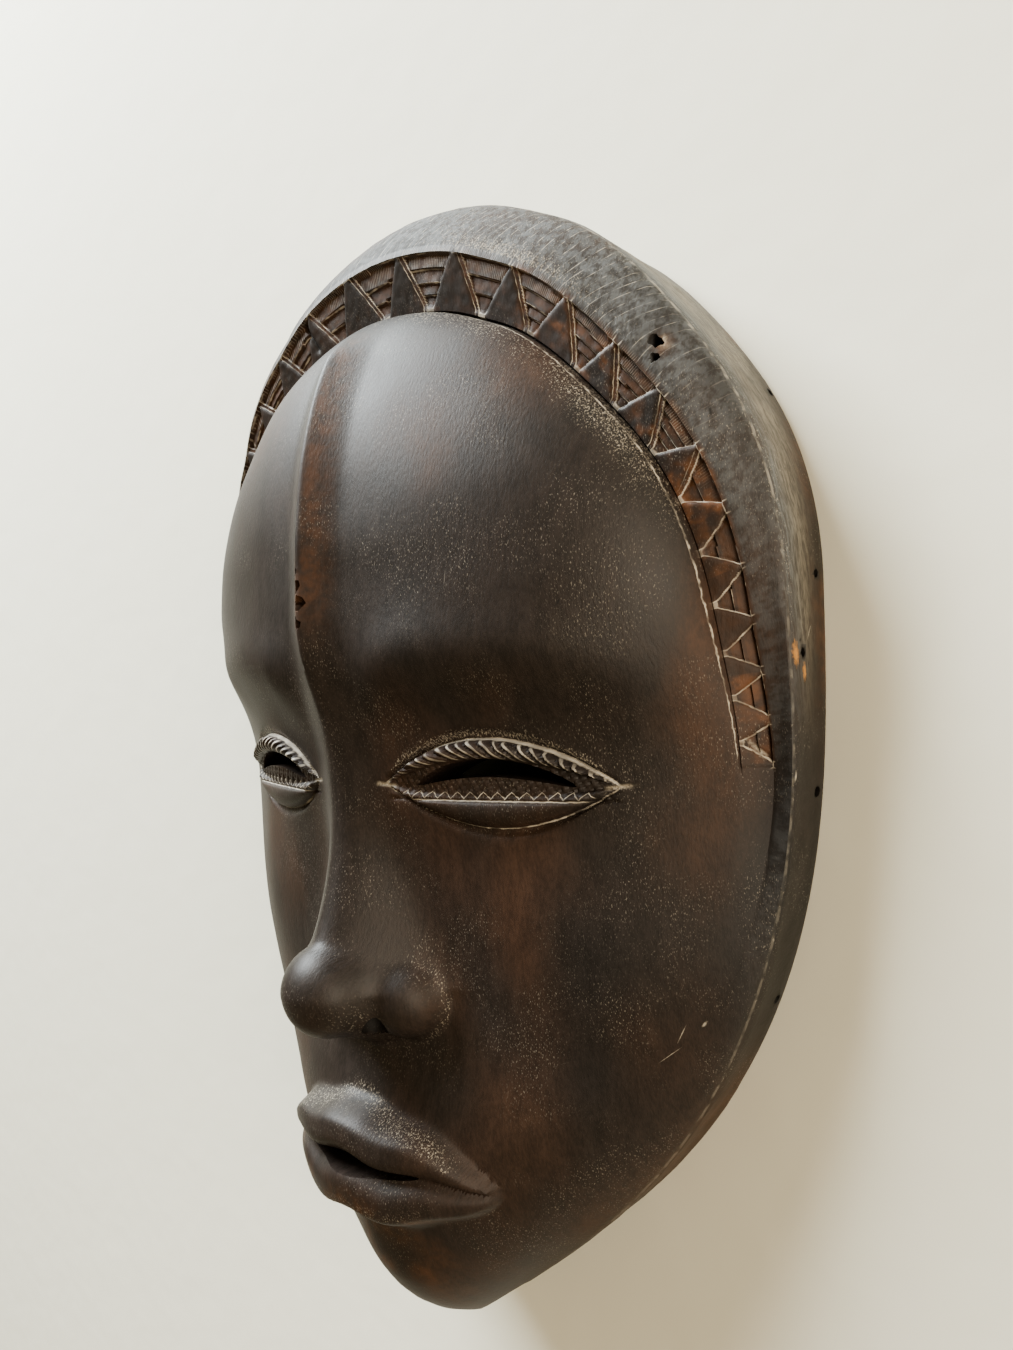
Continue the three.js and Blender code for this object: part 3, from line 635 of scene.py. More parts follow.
def forehead_marks(x, y, ring, g, marks):
    """Lines beside the ridge, the worn edge of the dome and painted shade in the groove beside it."""
    top = ease(FOREHEAD_TOP - y, 2, 12) * ease(y, 0.1 * HEIGHT, 0.16 * HEIGHT)
    rise = -0.3 * stroke(x - RIDGE_LINE, 0.35) * top
    marks.add(dark=0.6 * stroke(x - RIDGE_LINE, 0.4) * top)
    flank = ease(x, 0.0, 1.5) * ease(8.5 - x, 0, 6.0) * top
    marks.add(wear=0.42 * flank)
    marks.add(haze=0.5 * flank * ease(y, 0.22 * HEIGHT, 0.3 * HEIGHT) * ease(x, 1.5, 4))
    chip = bump(np.hypot((x - CHIPPED_PLACE[0]) / 2.0, (y - CHIPPED_PLACE[1]) / 6.0))
    marks.add(haze=0.7 * chip, wear=0.7 * chip, dark=0.35 * chip * ease(-x, -0.5, 1.0))
    near_edge = ease(ring, RING_DOME - 0.09, RING_DOME - 0.002) * (ring < RING_DOME + 0.004)
    right = ease(x, -20, 6) * ease(y, 0.1 * HEIGHT, 0.25 * HEIGHT)
    marks.add(haze=near_edge * right * (0.8 + 0.12 * mottle(x, y, 4, 34)))
    marks.add(haze=0.7 * near_edge * ease(-x, 0, 10) * ease(y, 0.2 * HEIGHT, 0.3 * HEIGHT))
    # Painted shade: the groove between the dome and the border is darkened, most at the crown
    deep = ease(ring, RING_DOME, RING_GROOVE) * ease(RING_BORDER - ring, 0, 0.004)
    marks.add(dark=0.6 * deep * (y > BORDER_END) * ease(g["up"], 0.35, 0.85))
    return rise


def bevel_place(ring, g):
    """Millimetres outwards from the inner edge of the bevel, and the bevel's width."""
    width = (1 - g["outer"]) * g["reach"]
    return (ring - RING_BEVEL) / (1 - RING_BEVEL) * width, width


TORN_PLACE = (64.6, 80.7)  # right-hand edge of the ragged hole


def bevel_marks(x, y, angle, ring, g, marks):
    """Curved knife strokes and weathering on the bevel."""
    out, width = bevel_place(ring, g)
    on = ease(ring, RING_BEVEL + 0.002, RING_BEVEL + 0.01) * (ring <= 1.0)
    on = on * ease(y, BORDER_END - 4, BORDER_END + 6)
    arc_mm = run_of(angle) * g["reach"]
    bend = arc_mm + 0.06 * out**2
    cuts = mottle(bend, out * 0.12, 2.6, 41)
    rise = on * 0.16 * cuts * ease(width, 4, 10)
    grey = mix(0.45, 1, ease(g["up"], 0.3, 0.8)) * mix(0.25, 1, ease(x, -45, 5))
    marks.add(grey=on * (0.8 + 0.2 * mottle(arc_mm, out, 6, 43)) * grey)
    marks.add(haze=on * (0.25 + 0.7 * bump((x - 34) / 26) * ease(9 - out, 0, 7)))
    marks.add(haze=on * 0.66 * ease(g["up"], 0.6, 0.95) * ease(x, -35, 15))
    ledge = ease(ring, RING_BEVEL, RING_BEVEL + 0.03) * (ring <= 1.0) * ease(y, -0.2 * HEIGHT, -0.02 * HEIGHT)
    ledge = ledge * (1 - ease(y, BORDER_END, BORDER_END + 8))
    marks.add(grey=0.3 * ledge, haze=0.4 * ledge)
    high = ease(g["up"], 0.6, 0.9)
    marks.add(haze=0.4 * on * high * ease(out - width + 3, 0, 3))
    marks.add(dark=0.45 * on * (1 - high) * ease(x, 20, 50) * stroke(out - width + 1.6, 1.4))
    marks.add(chatter=on * ease(g["up"], 0.45, 0.85))
    torn = bump(np.hypot((x - TORN_PLACE[0]) / 1.2, (y - TORN_PLACE[1]) / 2.0))
    marks["grey"] = marks["grey"] * (1 - torn)
    marks.add(wear=torn, dust=0.75 * torn * ease(torn, 0.6, 0.95))
    return rise


def side_marks(angle, down, g, marks):
    """The side wall: grey above, browner below, with shallow knife facets."""
    arc_mm = run_of(angle) * g["reach"]
    drop = down * g["side"]
    upper = ease(g["up"], 0.02, 0.3) * (down > 0)
    lasting = mix(0.82, 1.15, ease(g["up"], 0.3, 0.8)) - down
    marks.add(grey=ease(lasting, 0, 0.5) * (0.75 + 0.25 * mottle(arc_mm, drop, 5, 51)) * upper)
    marks.add(haze=(0.3 + 0.45 * stroke(drop - 0.8, 2.2)) * upper)
    spots = ease(mottle(arc_mm, drop, 7, 52), -0.2, 0.8)
    marks.add(wear=0.5 * spots * ease(down, 0.5, 0.9) * ease(g["up"], 0.0, 0.2))
    facets = scoops(arc_mm, drop * 1.3, 9.0, 53)
    return -0.35 * facets * np.sin(np.pi * clamp01(down))


def surface(u, v, marks):
    """The outside of the mask for points of the flat layout: front, side wall and the flat of the rim."""
    ring, angle = polar(u, v)
    g = gauge_at(angle)
    down = clamp01((ring - 1) / (RING_FOOT - 1))
    under = clamp01((ring - RING_FOOT) / (RING_RIM - RING_FOOT))
    r = share_of_ring(np.minimum(ring, 1.0), g) * g["reach"]
    x, y = in_plan(r, angle)
    z = base_front(x, y, np.minimum(ring, 1.0), g)
    on_front = ring <= 1.0
    z = z + np.where(on_front, border_relief(angle, ring, g, marks), 0)
    z = z + eye_carving(x, y, marks)
    face_marks(x, y, marks)
    z = z + np.where(on_front, forehead_marks(x, y, ring, g, marks), 0)
    z = z + bevel_marks(x, y, angle, ring, g, marks)
    z = z + 0.12 * mottle(x, y, 9, 61) * ease(0.9 - ring, 0, 0.1)
    shrink = side_marks(angle, down, g, marks) * (~on_front)
    # Rounded arris at the top of the wall and a small one at its foot
    arris = bump((ring - 1.0) / 0.005)
    soften = 0.5 * arris + 0.5 * bump((down - 1) * g["side"] / 0.8) * (~on_front)
    r = r + shrink - soften * (ring > 0.97) - under * (RIM_WIDTH - RIM_BRIDGE)
    z = (z - 0.2 * arris) * np.where(on_front, 1, 1 - down)
    x, y = in_plan(r, angle)
    return np.stack([x, y, np.maximum(z, 0)], axis=1)


def hollow_surface(u, v):
    """The hollow behind the face, rough from the adze."""
    ring, angle = polar(u, v)
    r = ring * (reach_of(angle) - RIM_WIDTH)
    x, y = in_plan(r, angle)
    crown = ease(np.sin(angle), 0.1, 0.9)
    top = np.minimum(midline(y), midline(np.minimum(y, CREST_Y))) - WALL
    vault = np.maximum(0, 1 - ring ** mix(2.3, 2.6, crown)) ** mix(0.9, 1, crown)
    z = top * vault + 0.9 * (scoops(x, y * 0.7, 11, 71) - 0.6) * ease(1 - ring, 0.0, 0.08)
    return np.stack([x, y, np.maximum(z, 0)], axis=1)


# Mesh helpers


def deselect():
    if bpy.context.object and bpy.context.object.mode != "OBJECT":
        bpy.ops.object.mode_set(mode="OBJECT")
    bpy.ops.object.select_all(action="DESELECT")


def pick(obj):
    deselect()
    obj.select_set(True)
    bpy.context.view_layer.objects.active = obj


@contextmanager
def editing(obj, by_faces=False):
    """Edit mode on one object, in which edges or faces are picked."""
    pick(obj)
    bpy.context.tool_settings.mesh_select_mode = (False, not by_faces, by_faces)
    bpy.ops.object.mode_set(mode="EDIT")
    yield
    bpy.ops.object.mode_set(mode="OBJECT")


def read_rows(items, name, width, kind=float):
    values = np.empty(len(items) * width, dtype=kind)
    items.foreach_get(name, values)
    return values.reshape(-1, width)


def points_of(mesh):
    return read_rows(mesh.vertices, "co", 3)


def move_points(mesh, points):
    mesh.vertices.foreach_set("co", np.ascontiguousarray(points, dtype=np.float32).ravel())
    mesh.update()


def read_vector(mesh, name):
    return read_rows(mesh.attributes[name].data, "vector", 3)


def write_vector(mesh, name, *columns):
    layer = mesh.attributes.get(name) or mesh.attributes.new(name, "FLOAT_VECTOR", "POINT")
    values = np.stack(np.broadcast_arrays(*columns), axis=1)
    layer.data.foreach_set("vector", np.ascontiguousarray(values, dtype=np.float32).ravel())


def disc(name, columns, rows, patch, bulge, rings):
    """A flat disc of quads: a bulged grid in the middle, extruded outwards ring by ring.

    Each ring is given with how far it has settled from the grid's outline, at 0, to a circle, at 1.
    """
    deselect()
    bpy.ops.mesh.primitive_grid_add(x_subdivisions=columns, y_subdivisions=rows, size=2)
    obj = bpy.context.object
    obj.name = name
    mesh = obj.data
    sector = math.pi * columns / (columns + rows)
    st = points_of(mesh)[:, :2]
    s, t = st[:, 0], st[:, 1]
    tall = patch * math.tan(math.pi / 2 - sector / 2)
    u, v = patch * s * (1 + bulge * (1 - t * t)), tall * t * (1 + bulge * (1 - s * s))
    quarter = math.pi / 2 - sector / 2
    angle = np.where(np.abs(t) > 1 - 1e-6, math.pi / 2 - s * sector / 2, 0)
    angle = np.where(t < -1 + 1e-6, -math.pi / 2 + s * sector / 2, angle)
    angle = np.where(s > 1 - 1e-6, t * quarter, angle)
    angle = np.where(s < -1 + 1e-6, math.pi - t * quarter, angle)
    write_vector(mesh, "start", u, v, angle)
    move_points(mesh, np.stack([u, v, np.zeros(len(u))], axis=1))
    with editing(obj):
        bpy.ops.mesh.select_all(action="DESELECT")
        bpy.ops.mesh.select_non_manifold()
    for ring, settled in rings:
        with editing(obj):
            bpy.ops.mesh.extrude_edges_move()
        chosen = read_rows(mesh.vertices, "select", 1, bool)[:, 0]
        start = read_vector(mesh, "start")[chosen]
        circle = ring * np.stack([np.cos(start[:, 2]), np.sin(start[:, 2])], axis=1)
        points = points_of(mesh)
        points[chosen, :2] = mix(start[:, :2], circle, settled)
        move_points(mesh, points)
    return obj


def halve(obj, chosen, by_faces):
    """Halves the chosen faces or edges."""
    mesh = obj.data
    for items in (mesh.vertices, mesh.edges, mesh.polygons):
        items.foreach_set("select", np.zeros(len(items), dtype=bool))
    (mesh.polygons if by_faces else mesh.edges).foreach_set("select", chosen)
    with editing(obj, by_faces):
        bpy.ops.mesh.subdivide(number_cuts=1)


def halve_faces(obj, wanted):
    """Halves every quad whose middle passes the test, given in the flat layout."""
    halve(obj, wanted(*read_rows(obj.data.polygons, "center", 3)[:, :2].T), True)


def halve_edges(obj, wanted):
    """Halves every edge that passes the test, so that quads are split one way only."""
    ends = points_of(obj.data)[read_rows(obj.data.edges, "vertices", 2, int), :2]
    halve(obj, wanted(ends[:, 0], ends[:, 1]), False)


def plan_of(u, v):
    """Where a point of the flat layout lies in plan, and its ring."""
    ring, angle = polar(u, v)
    g = gauge_at(angle)
    x, y = in_plan(share_of_ring(np.minimum(ring, 1.0), g) * g["reach"], angle)
    return x, y, ring


def border_zone(u, v):
    ring, angle = polar(u, v)
    s = border_step(angle)
    return (ring > RING_DOME - 0.006) & (ring < RING_BEVEL + 0.003) & (np.abs(s) < BORDER_CELLS / 2 + 0.4)


def fine_zone(u, v):
    """Everything but the smooth dome, cheeks and rim."""
    x, y, ring = plan_of(u, v)
    middle = (np.abs(x) < 62) & (y < 0.13 * HEIGHT) & (y > -0.44 * HEIGHT)
    ridge = (np.abs(x) < 9) & (y > 0)
    return (middle | ridge | ((ring > 0.75) & (y > -30))) & (ring < RING_FOOT)


def detail_zone(u, v):
    x, y, ring = plan_of(u, v)
    eyes = (np.abs(np.abs(x) - EYE_X) < EYE_HALF + 2.5) & (y < EYE_UP + 2.2) & (y > -EYE_DOWN - 2)
    noses = (np.abs(x) < 23) & (y < -0.115 * HEIGHT) & (y > -0.225 * HEIGHT)
    lips = (np.abs(x) < MOUTH_HALF + 1) & (np.abs(y - MOUTH_Y + 2) < 0.06 * HEIGHT)
    ridge = (np.abs(x) < 3.4) & (y > 0.1 * HEIGHT) & (ring < RING_DOME)
    return eyes | noses | lips | ridge | border_zone(u, v)


def eye_zone(a, b):
    x, y, _ = plan_of(*((a + b) / 2).T)
    upright = np.abs(a[:, 1] - b[:, 1]) > np.abs(a[:, 0] - b[:, 0])
    return upright & (np.abs(np.abs(x) - EYE_X) < EYE_HALF + 1.5) & (y < EYE_UP + 1) & (y > -3.6)


def border_arcs(a, b):
    middle = (a + b) / 2
    around = np.abs(np.hypot(*a.T) - np.hypot(*b.T)) < 0.3 * np.hypot(*(a - b).T)
    return around & border_zone(*middle.T)


def carved_outside():
    """The outside skin: front, side wall and rim, refined where the carving is fine."""
    rings = [(RING_DOME - 0.007, (i + 1) / 9) for i in range(8)]
    rings += [(r, 1) for r in (RING_DOME - 0.007, RING_DOME, RING_GROOVE, RING_BORDER)]
    rings += [(RING_BORDER + (RING_BEVEL - RING_BORDER) * i / 5, 1) for i in range(1, 6)]
    rings += [(RING_BEVEL + 0.025 * i, 1) for i in range(1, 5)]
    rings += [(1 + 0.1 * i / 7, 1) for i in range(1, 8)]
    rings += [(RING_FOOT + 0.025, 1), (RING_RIM, 1)]
    obj = disc("carved_mask", 56, 72, 0.45, 0.25, rings)
    for zone in (fine_zone, detail_zone):
        halve_faces(obj, zone)
    for zone in (border_arcs, eye_zone):
        halve_edges(obj, zone)
    return obj


def rough_inside():
    rings = [(0.97, (i + 1) / 9) for i in range(9)] + [(1.0, 1)]
    return disc("hollow", 48, 60, 0.5, 0.25, rings)


def join(parts):
    deselect()
    for part in parts:
        part.select_set(True)
    bpy.context.view_layer.objects.active = parts[0]
    bpy.ops.object.join()
    return parts[0]


def bridge_rims(obj):
    """Closes the flat of the rim between the outside skin and the hollow."""
    with editing(obj):
        bpy.ops.mesh.select_all(action="DESELECT")
        bpy.ops.mesh.select_non_manifold()
        bpy.ops.mesh.bridge_edge_loops()
        bpy.ops.mesh.select_all(action="SELECT")
        bpy.ops.mesh.normals_make_consistent(inside=False)


# Cutters for what goes through or deep into the wood

CUTTER_SPARE = 5.0  # reach of the straight cutters past the mask


def prism(outline, name):
    """A straight cutter through the whole mask, over a closed outline in plan."""
    deselect()
    count = len(outline)
    bpy.ops.mesh.primitive_circle_add(vertices=count, radius=1, fill_type="NGON")
    obj = bpy.context.object
    obj.name = name
    order = np.argsort(polar(*points_of(obj.data)[:, :2].T)[1])
    first = np.argmin(polar(*(outline - outline.mean(axis=0)).T)[1])
    points = np.full((count, 3), -CUTTER_SPARE)
    points[order, :2] = np.roll(outline, -first, axis=0)
    move_points(obj.data, points * MM)
    with editing(obj):
        bpy.ops.mesh.select_all(action="SELECT")
        up = (DEPTH + 2 * CUTTER_SPARE) * MM
        bpy.ops.mesh.extrude_region_move(TRANSFORM_OT_translate={"value": (0, 0, up)})
        bpy.ops.mesh.select_all(action="SELECT")
        bpy.ops.mesh.normals_make_consistent(inside=False)
    return obj


def lens(length, height, sag, cx, cy):
    """Outline of a slit that sags in the middle."""
    t = np.linspace(-1, 1, 41)
    middle, half = sag * arch(t), height / 2 * arch(t) ** 0.6
    top, bottom = (np.stack([t * length / 2, edge], axis=1) for edge in (middle + half, middle - half))
    return np.concatenate([top[::-1], bottom[1:-1]]) + [cx, cy]


def drill(at, inwards, width, depth, name, sides=14, ragged=0.15):
    """A slightly ragged tapering drill from the surface inwards."""
    deselect()
    bpy.ops.mesh.primitive_cylinder_add(
        vertices=sides, radius=width / 2 * MM, depth=2 * depth * MM, end_fill_type="TRIFAN"
    )
    obj = bpy.context.object
    obj.name = name
    points = points_of(obj.data) / MM
    rng = np.random.default_rng(int(abs(at[0] * 13 + at[1] * 7)))
    low = points[:, 2] < 0
    points[low, :2] *= 0.7
    spread = rng.uniform(1 - ragged, 1 + ragged, sides)
    place = polar(points[:, 0], points[:, 1])[1] / (2 * math.pi) * sides
    points[:, :2] *= spread[np.round(place).astype(int) % sides][:, None]
    turn = Vector((0, 0, -1)).rotation_difference(Vector(inwards)).to_matrix()
    points = points @ np.array(turn).T + at
    move_points(obj.data, points * MM)
    return obj


NOSTRIL_PLACE = (8.2, -47.5, 51.5)
NOSTRIL_SIZE = (3.2, 4.0, 3.0)
# Holes in the side wall: direction, height as a share of the wall, width
TIE_HOLES = (
    (0.725, 0.13, 1.8),
    (0.335, 0.25, 1.8),
    (0.165, 0.67, 2.2),
    (-0.154, 0.25, 2.4),
    (-0.644, 0.24, 2.2),
)
# The ragged hole in the bevel, as two that meet: direction, ring, share of its size
RAGGED_HOLE = ((0.843, 0.945, 1), (0.817, 0.927, 0.6))
# Where chips are out of the wood beside the ridge: x, y, width
CHIPS = ((-1.0, 43.0, 2.4), (-0.6, 39.8, 3.4), (-0.3, 36.2, 3.9), (-0.6, 32.6, 2.8))


def layout_of(x, y):
    """Ring, direction and gauges of a place in plan."""
    away, angle = polar(x, y - GAUGE_Y)
    g = gauge_at(angle)
    return ring_of_share(clamp01(away / g["reach"]), g), angle, g


def skin_point(ring, angle):
    """A point of the carved skin."""
    return surface(np.atleast_1d(ring * np.cos(angle)), np.atleast_1d(ring * np.sin(angle)), Marks(1))[0]


def hole_cutters():
    gap = lens(MOUTH_GAP_LENGTH, MOUTH_GAP, 0, 0, MOUTH_Y - 0.002 * HEIGHT)
    cutters = [prism(lens(SLIT_LENGTH, SLIT_HEIGHT, SLIT_SAG, side * EYE_X, 0), "slit") for side in (-1, 1)]
    cutters.append(prism(gap, "gap"))
    for angle, share, width in TIE_HOLES:
        g = gauge_at(np.array([angle]))
        out = np.array([math.cos(angle), math.sin(angle), 0])
        at = out * float(g["reach"][0]) + [0, GAUGE_Y, share * float(g["side"][0])]
        cutters.append(drill(at, -out, width, 7, "tie_hole"))
    for angle, ring, size in RAGGED_HOLE:
        inwards = Vector((-0.3 * math.cos(angle), -0.3 * math.sin(angle), -1)).normalized()
        cutters.append(drill(skin_point(ring, angle), inwards, 3.4 * size, 8 * size, "ragged_hole", 18, 0.35))
    for x, y, width in CHIPS:
        ring, angle, _ = layout_of(np.array([x]), np.array([y]))
        cutters.append(drill(skin_point(ring, angle), (0.2, 0, -1), width, 0.55 * width, "chip", 9, 0.3))
    for side in (-1, 1):
        deselect()
        bpy.ops.mesh.primitive_uv_sphere_add(segments=20, ring_count=12, radius=MM)
        nostril = bpy.context.object
        place = np.array([side * NOSTRIL_PLACE[0], *NOSTRIL_PLACE[1:]])
        move_points(nostril.data, points_of(nostril.data) * NOSTRIL_SIZE + place * MM)
        cutters.append(nostril)
    return join(cutters)


def cut_holes(obj, cutters):
    pick(obj)
    hole = obj.modifiers.new("holes", "BOOLEAN")
    hole.object = cutters
    hole.solver = "MANIFOLD"
    hole.operation = "DIFFERENCE"
    bpy.ops.object.modifier_apply(modifier="holes")
    bpy.data.objects.remove(cutters)


# What a point belongs to, kept with its place in the flat layout. The boolean leaves 0 on new cuts
OUTSIDE, HOLLOW = 1, 2
# Low values that stand in where the border doesn't show, and inside the mask
OFF_FRONT, INSIDE = -9.0, -99.0


def paint(obj):
    """Writes the colour masks, worked out again from where each point lies."""
    mesh = obj.data
    x, y, z = points_of(mesh).T / MM
    u, v, kind = read_vector(mesh, "flat").T
    ring, angle, g = layout_of(x, y)
    new, on_skin, in_hollow = kind < 0.5, kind == OUTSIDE, kind > 1.5
    u, v = np.where(new, ring * np.cos(angle), u), np.where(new, ring * np.sin(angle), v)
    laid_ring = np.hypot(u, v)
    ring = np.where(on_skin, np.minimum(laid_ring, 1), ring)
    marks = Marks(len(x))
    skin_z = surface(u, v, marks)[:, 2]
    beside_ridge = (np.abs(x) < 5) & (y > 0.1 * HEIGHT)
    deep = new & (skin_z - z > 0.6) & ~beside_ridge
    inside = in_hollow | deep
    on_side = (laid_ring > 1) & on_skin
    out, width = bevel_place(ring, g)
    out = out + np.where(on_side, g["side"] - z, 0)
    write_vector(mesh, "run", run_of(angle) * g["reach"] * MM, out * MM, z * MM)
    cell, eye = border_fields(angle, ring, g), eye_fields(x, y)
    here = np.where(inside | on_side, OFF_FRONT, cell["here"])
    edge_line = (cell["t"] - OUTER_LINE) * cell["width"]
    write_vector(mesh, "cell", cell["edge"], cell["phase"], cell["p"])
    write_vector(mesh, "cell_size", cell["row"], here, cell["plain"])
    write_vector(mesh, "lines", edge_of_dome(ring, g), edge_line, np.where(inside, INSIDE, out - width))
    write_vector(mesh, "eye", eye["above"], eye["below"], eye["cord"])
    write_vector(mesh, "eye_row", eye["inner"], y, eye["along"])
    for name in MASKS:
        value = clamp01(marks[name])
        value[inside] = 0
        # The walls of holes and deep cuts are painted near black: painted shade
        if name == "dark":
            value[deep] = 1
        if name == "grey":
            value[in_hollow] = 0.6
        layer = mesh.attributes.new(name, "FLOAT", "POINT")
        layer.data.foreach_set("value", value.astype(np.float32))


def settle(obj, kind, shape):
    """Keeps each point's place in the flat layout and moves it to the carved surface."""
    flat = points_of(obj.data)
    write_vector(obj.data, "flat", flat[:, 0], flat[:, 1], float(kind))
    move_points(obj.data, shape(flat[:, 0], flat[:, 1]) * MM)


def build_mask():
    outside, hollow = carved_outside(), rough_inside()
    settle(outside, OUTSIDE, lambda u, v: surface(u, v, Marks(len(u))))
    settle(hollow, HOLLOW, hollow_surface)
    with editing(hollow):
        bpy.ops.mesh.select_all(action="SELECT")
        bpy.ops.mesh.flip_normals()
    obj = join([outside, hollow])
    bridge_rims(obj)
    cut_holes(obj, hole_cutters())
    paint(obj)
    for spare in ("start", "flat"):
        obj.data.attributes.remove(obj.data.attributes[spare])
    pick(obj)
    bpy.ops.object.shade_smooth_by_angle(angle=math.radians(40))
    return obj


# Materials


class Wire:
    """The output of a node. Arithmetic on wires places the nodes that work it out."""

    def __init__(self, desk, socket):
        self.desk, self.socket = desk, socket

    def math(self, operation, other=0.0):
        return self.desk.math(operation, self, other)

    def __mul__(self, other):
        return self.math("MULTIPLY", other)

    def __add__(self, other):
        return self.math("ADD", other)

    def __sub__(self, other):
        return self.math("SUBTRACT", other)

    def __rsub__(self, other):
        return self.desk.math("SUBTRACT", other, self)

    def larger(self, other):
        return self.math("MAXIMUM", other)

    def band(self, low, high, to_low=0.0, to_high=1.0):
        """Eases from one value to another between two places."""
        ranges = {"Value": self, "From Min": low, "From Max": high, "To Min": to_low, "To Max": to_high}
        return self.desk.node("ShaderNodeMapRange", ranges, "Result", interpolation_type="SMOOTHSTEP")

    def parts(self):
        node = self.desk.place("ShaderNodeSeparateXYZ", {0: self})
        return [Wire(self.desk, socket) for socket in node.outputs]

    def stretch(self, *scale):
        return self.desk.node("ShaderNodeVectorMath", {0: self, 1: scale}, operation="MULTIPLY")

    def noise(self, scale, detail, roughness):
        inputs = {"Vector": self, "Scale": scale, "Detail": detail, "Roughness": roughness}
        return self.desk.node("ShaderNodeTexNoise", inputs, "Fac")


class Desk:
    """Places nodes in one tree and links them."""

    def __init__(self, tree):
        self.tree = tree

    def place(self, kind, inputs=(), **settings):
        node = self.tree.nodes.new(kind)
        for name, value in settings.items():
            setattr(node, name, value)
        for name, value in dict(inputs).items():
            self.plug(value, node.inputs[name])
        return node

    def plug(self, value, socket):
        if isinstance(value, Wire):
            self.tree.links.new(value.socket, socket)
        else:
            socket.default_value = value

    def node(self, kind, inputs=(), output=0, **settings):
        """Places a node and gives one of its outputs."""
        return Wire(self, self.place(kind, inputs, **settings).outputs[output])

    def math(self, operation, a, b):
        return self.node("ShaderNodeMath", {0: a, 1: b}, operation=operation)

    def mix(self, factor, a, b, blend="MIX"):
        a, b = (value if isinstance(value, Wire) else (*value[:3], 1) for value in (a, b))
        inputs = {"Factor": factor, "A": a, "B": b}
        return self.node("ShaderNodeMix", inputs, "Result", data_type="RGBA", blend_type=blend)

    def attribute(self, name, output="Fac"):
        return self.node("ShaderNodeAttribute", (), output, attribute_name=name, attribute_type="GEOMETRY")

    def group(self, work, outputs, **values):
        """Places a shader group, whose tree is made the first time that it is placed."""
        inputs = {name.replace("_", " ").title(): value for name, value in values.items()}
        tree = bpy.data.node_groups.get(work.__name__) or new_group(work, inputs, outputs)
        node = self.place("ShaderNodeGroup", inputs, node_tree=tree)
        return [Wire(self, socket) for socket in node.outputs]


def new_group(work, inputs, outputs):
    """A shader group, filled by a function that works its outputs out from its inputs."""
    tree = bpy.data.node_groups.new(work.__name__, "ShaderNodeTree")
    for name, value in inputs.items():
        kind = "Vector" if isinstance(value, Wire) and value.socket.type == "VECTOR" else "Float"
        tree.interface.new_socket(name, in_out="INPUT", socket_type="NodeSocket" + kind)
    for name in outputs:
        tree.interface.new_socket(name, in_out="OUTPUT", socket_type="NodeSocketFloat")
    desk = Desk(tree)
    given, result = desk.place("NodeGroupInput").outputs, desk.place("NodeGroupOutput").inputs
    found = work(*(Wire(desk, given[name]) for name in inputs))
    for wire, name in zip(found, outputs):
        desk.plug(wire, result[name])
    return tree


def wood_grain(vector):
    """Wood fibres along Y: streaks, the finest of them, and short pale pores."""
    fine = vector.stretch(1, 0.3, 0.3).noise(2400, 2, 0.6)
    broad = vector.stretch(1, 0.36, 0.36).noise(480, 2, 0.6)
    streak = fine * 0.5 + broad * 0.5
    flecks = vector.stretch(1, 0.36, 0.4).noise(5600, 1, 0.4)
    clusters = vector.noise(60, 1, 0.65)
    return streak, fine, flecks.band(0.62, 0.74) * clusters.band(0.4, 0.68)


def settled_dust(vector, cuts, haze):
    """Pale dust that lies solid in cuts and as separate grains on a hazed surface."""
    grains = vector.stretch(1, 0.5, 0.6).noise(3800, 2, 0.7)
    solid = cuts * grains.band(0.3, 0.6, 0.5, 1.0)
    over = grains - (0.84 - haze * 0.42)
    return [solid.larger(over.band(0.0, 0.2) * 0.62)]


CHATTER_PITCH = 2.7


def knife_chatter(run):
    """Curved steps that a knife leaves across a bevel. Their phase grows by one from step to step."""
    along, out, _ = run.parts()
    sway = (along * 110 + out * 260).math("SINE")
    warp = (sway + (along * 47).math("SINE")) * 0.0011
    phase = (along + warp + out * out * 22) * (1 / (CHATTER_PITCH * MM))
    return phase, phase.math("FRACT")


def thin_line(wobble, gaps, distance, half_width, worn):
    """A thin line with ragged edges where a distance in millimetres is nearly nothing."""
    away = (distance + wobble).math("ABSOLUTE")
    core = away.band(half_width * 0.6, half_width + 0.08, 1, 0)
    return [core * (1 - worn * gaps)]


def scar(local, rag):
    """A spindle-shaped scar. Its place, turn and half sizes stand in a mapping before it."""
    flat = local.stretch(1, 1, 0)
    away = local.desk.node("ShaderNodeVectorMath", {0: flat}, "Value", operation="LENGTH")
    return [(away + rag * 0.9).band(0.6, 1.4, 1, 0)]


# Small scars on the front: x, y, half length, half width, turn from +X in degrees, pale or dark
FRONT_SCARS = (
    (24.1, 62.6, 1.1, 0.3, 80, "dark"),
    (51.8, 33.6, 1.2, 0.3, 60, "dark"),
    (72.5, 67.1, 1.5, 0.4, 100, "dark"),
    (32.2, 39.1, 2.2, 0.12, 85, "pale"),
    (75.4, 6.3, 2.9, 0.6, -57, "pale"),
    (65.4, -44.7, 1.1, 0.35, 50, "pale"),
    (61.9, -46.6, 2.6, 0.11, 65, "pale"),
    (59.7, -50.7, 2.8, 0.1, 40, "pale"),
)

# Marks on the side wall: x, y, z, half length along the rim, half width, turn, pale, dark or orange
SIDE_SCARS = (
    (82.0, 23.6, 14.9, 3.1, 1.9, 4, "orange"),
    (82.2, 20.2, 11.0, 2.4, 1.2, 10, "orange"),
    (81.8, 25.6, 15.9, 0.7, 0.4, 0, "dark"),
    (82.3, 27.5, 8.6, 2.2, 0.16, 35, "pale"),
    (80.8, 1.3, 14.3, 1.3, 0.35, 5, "pale"),
    (82.4, 26.0, 12.6, 0.9, 0.45, 70, "dark"),
)


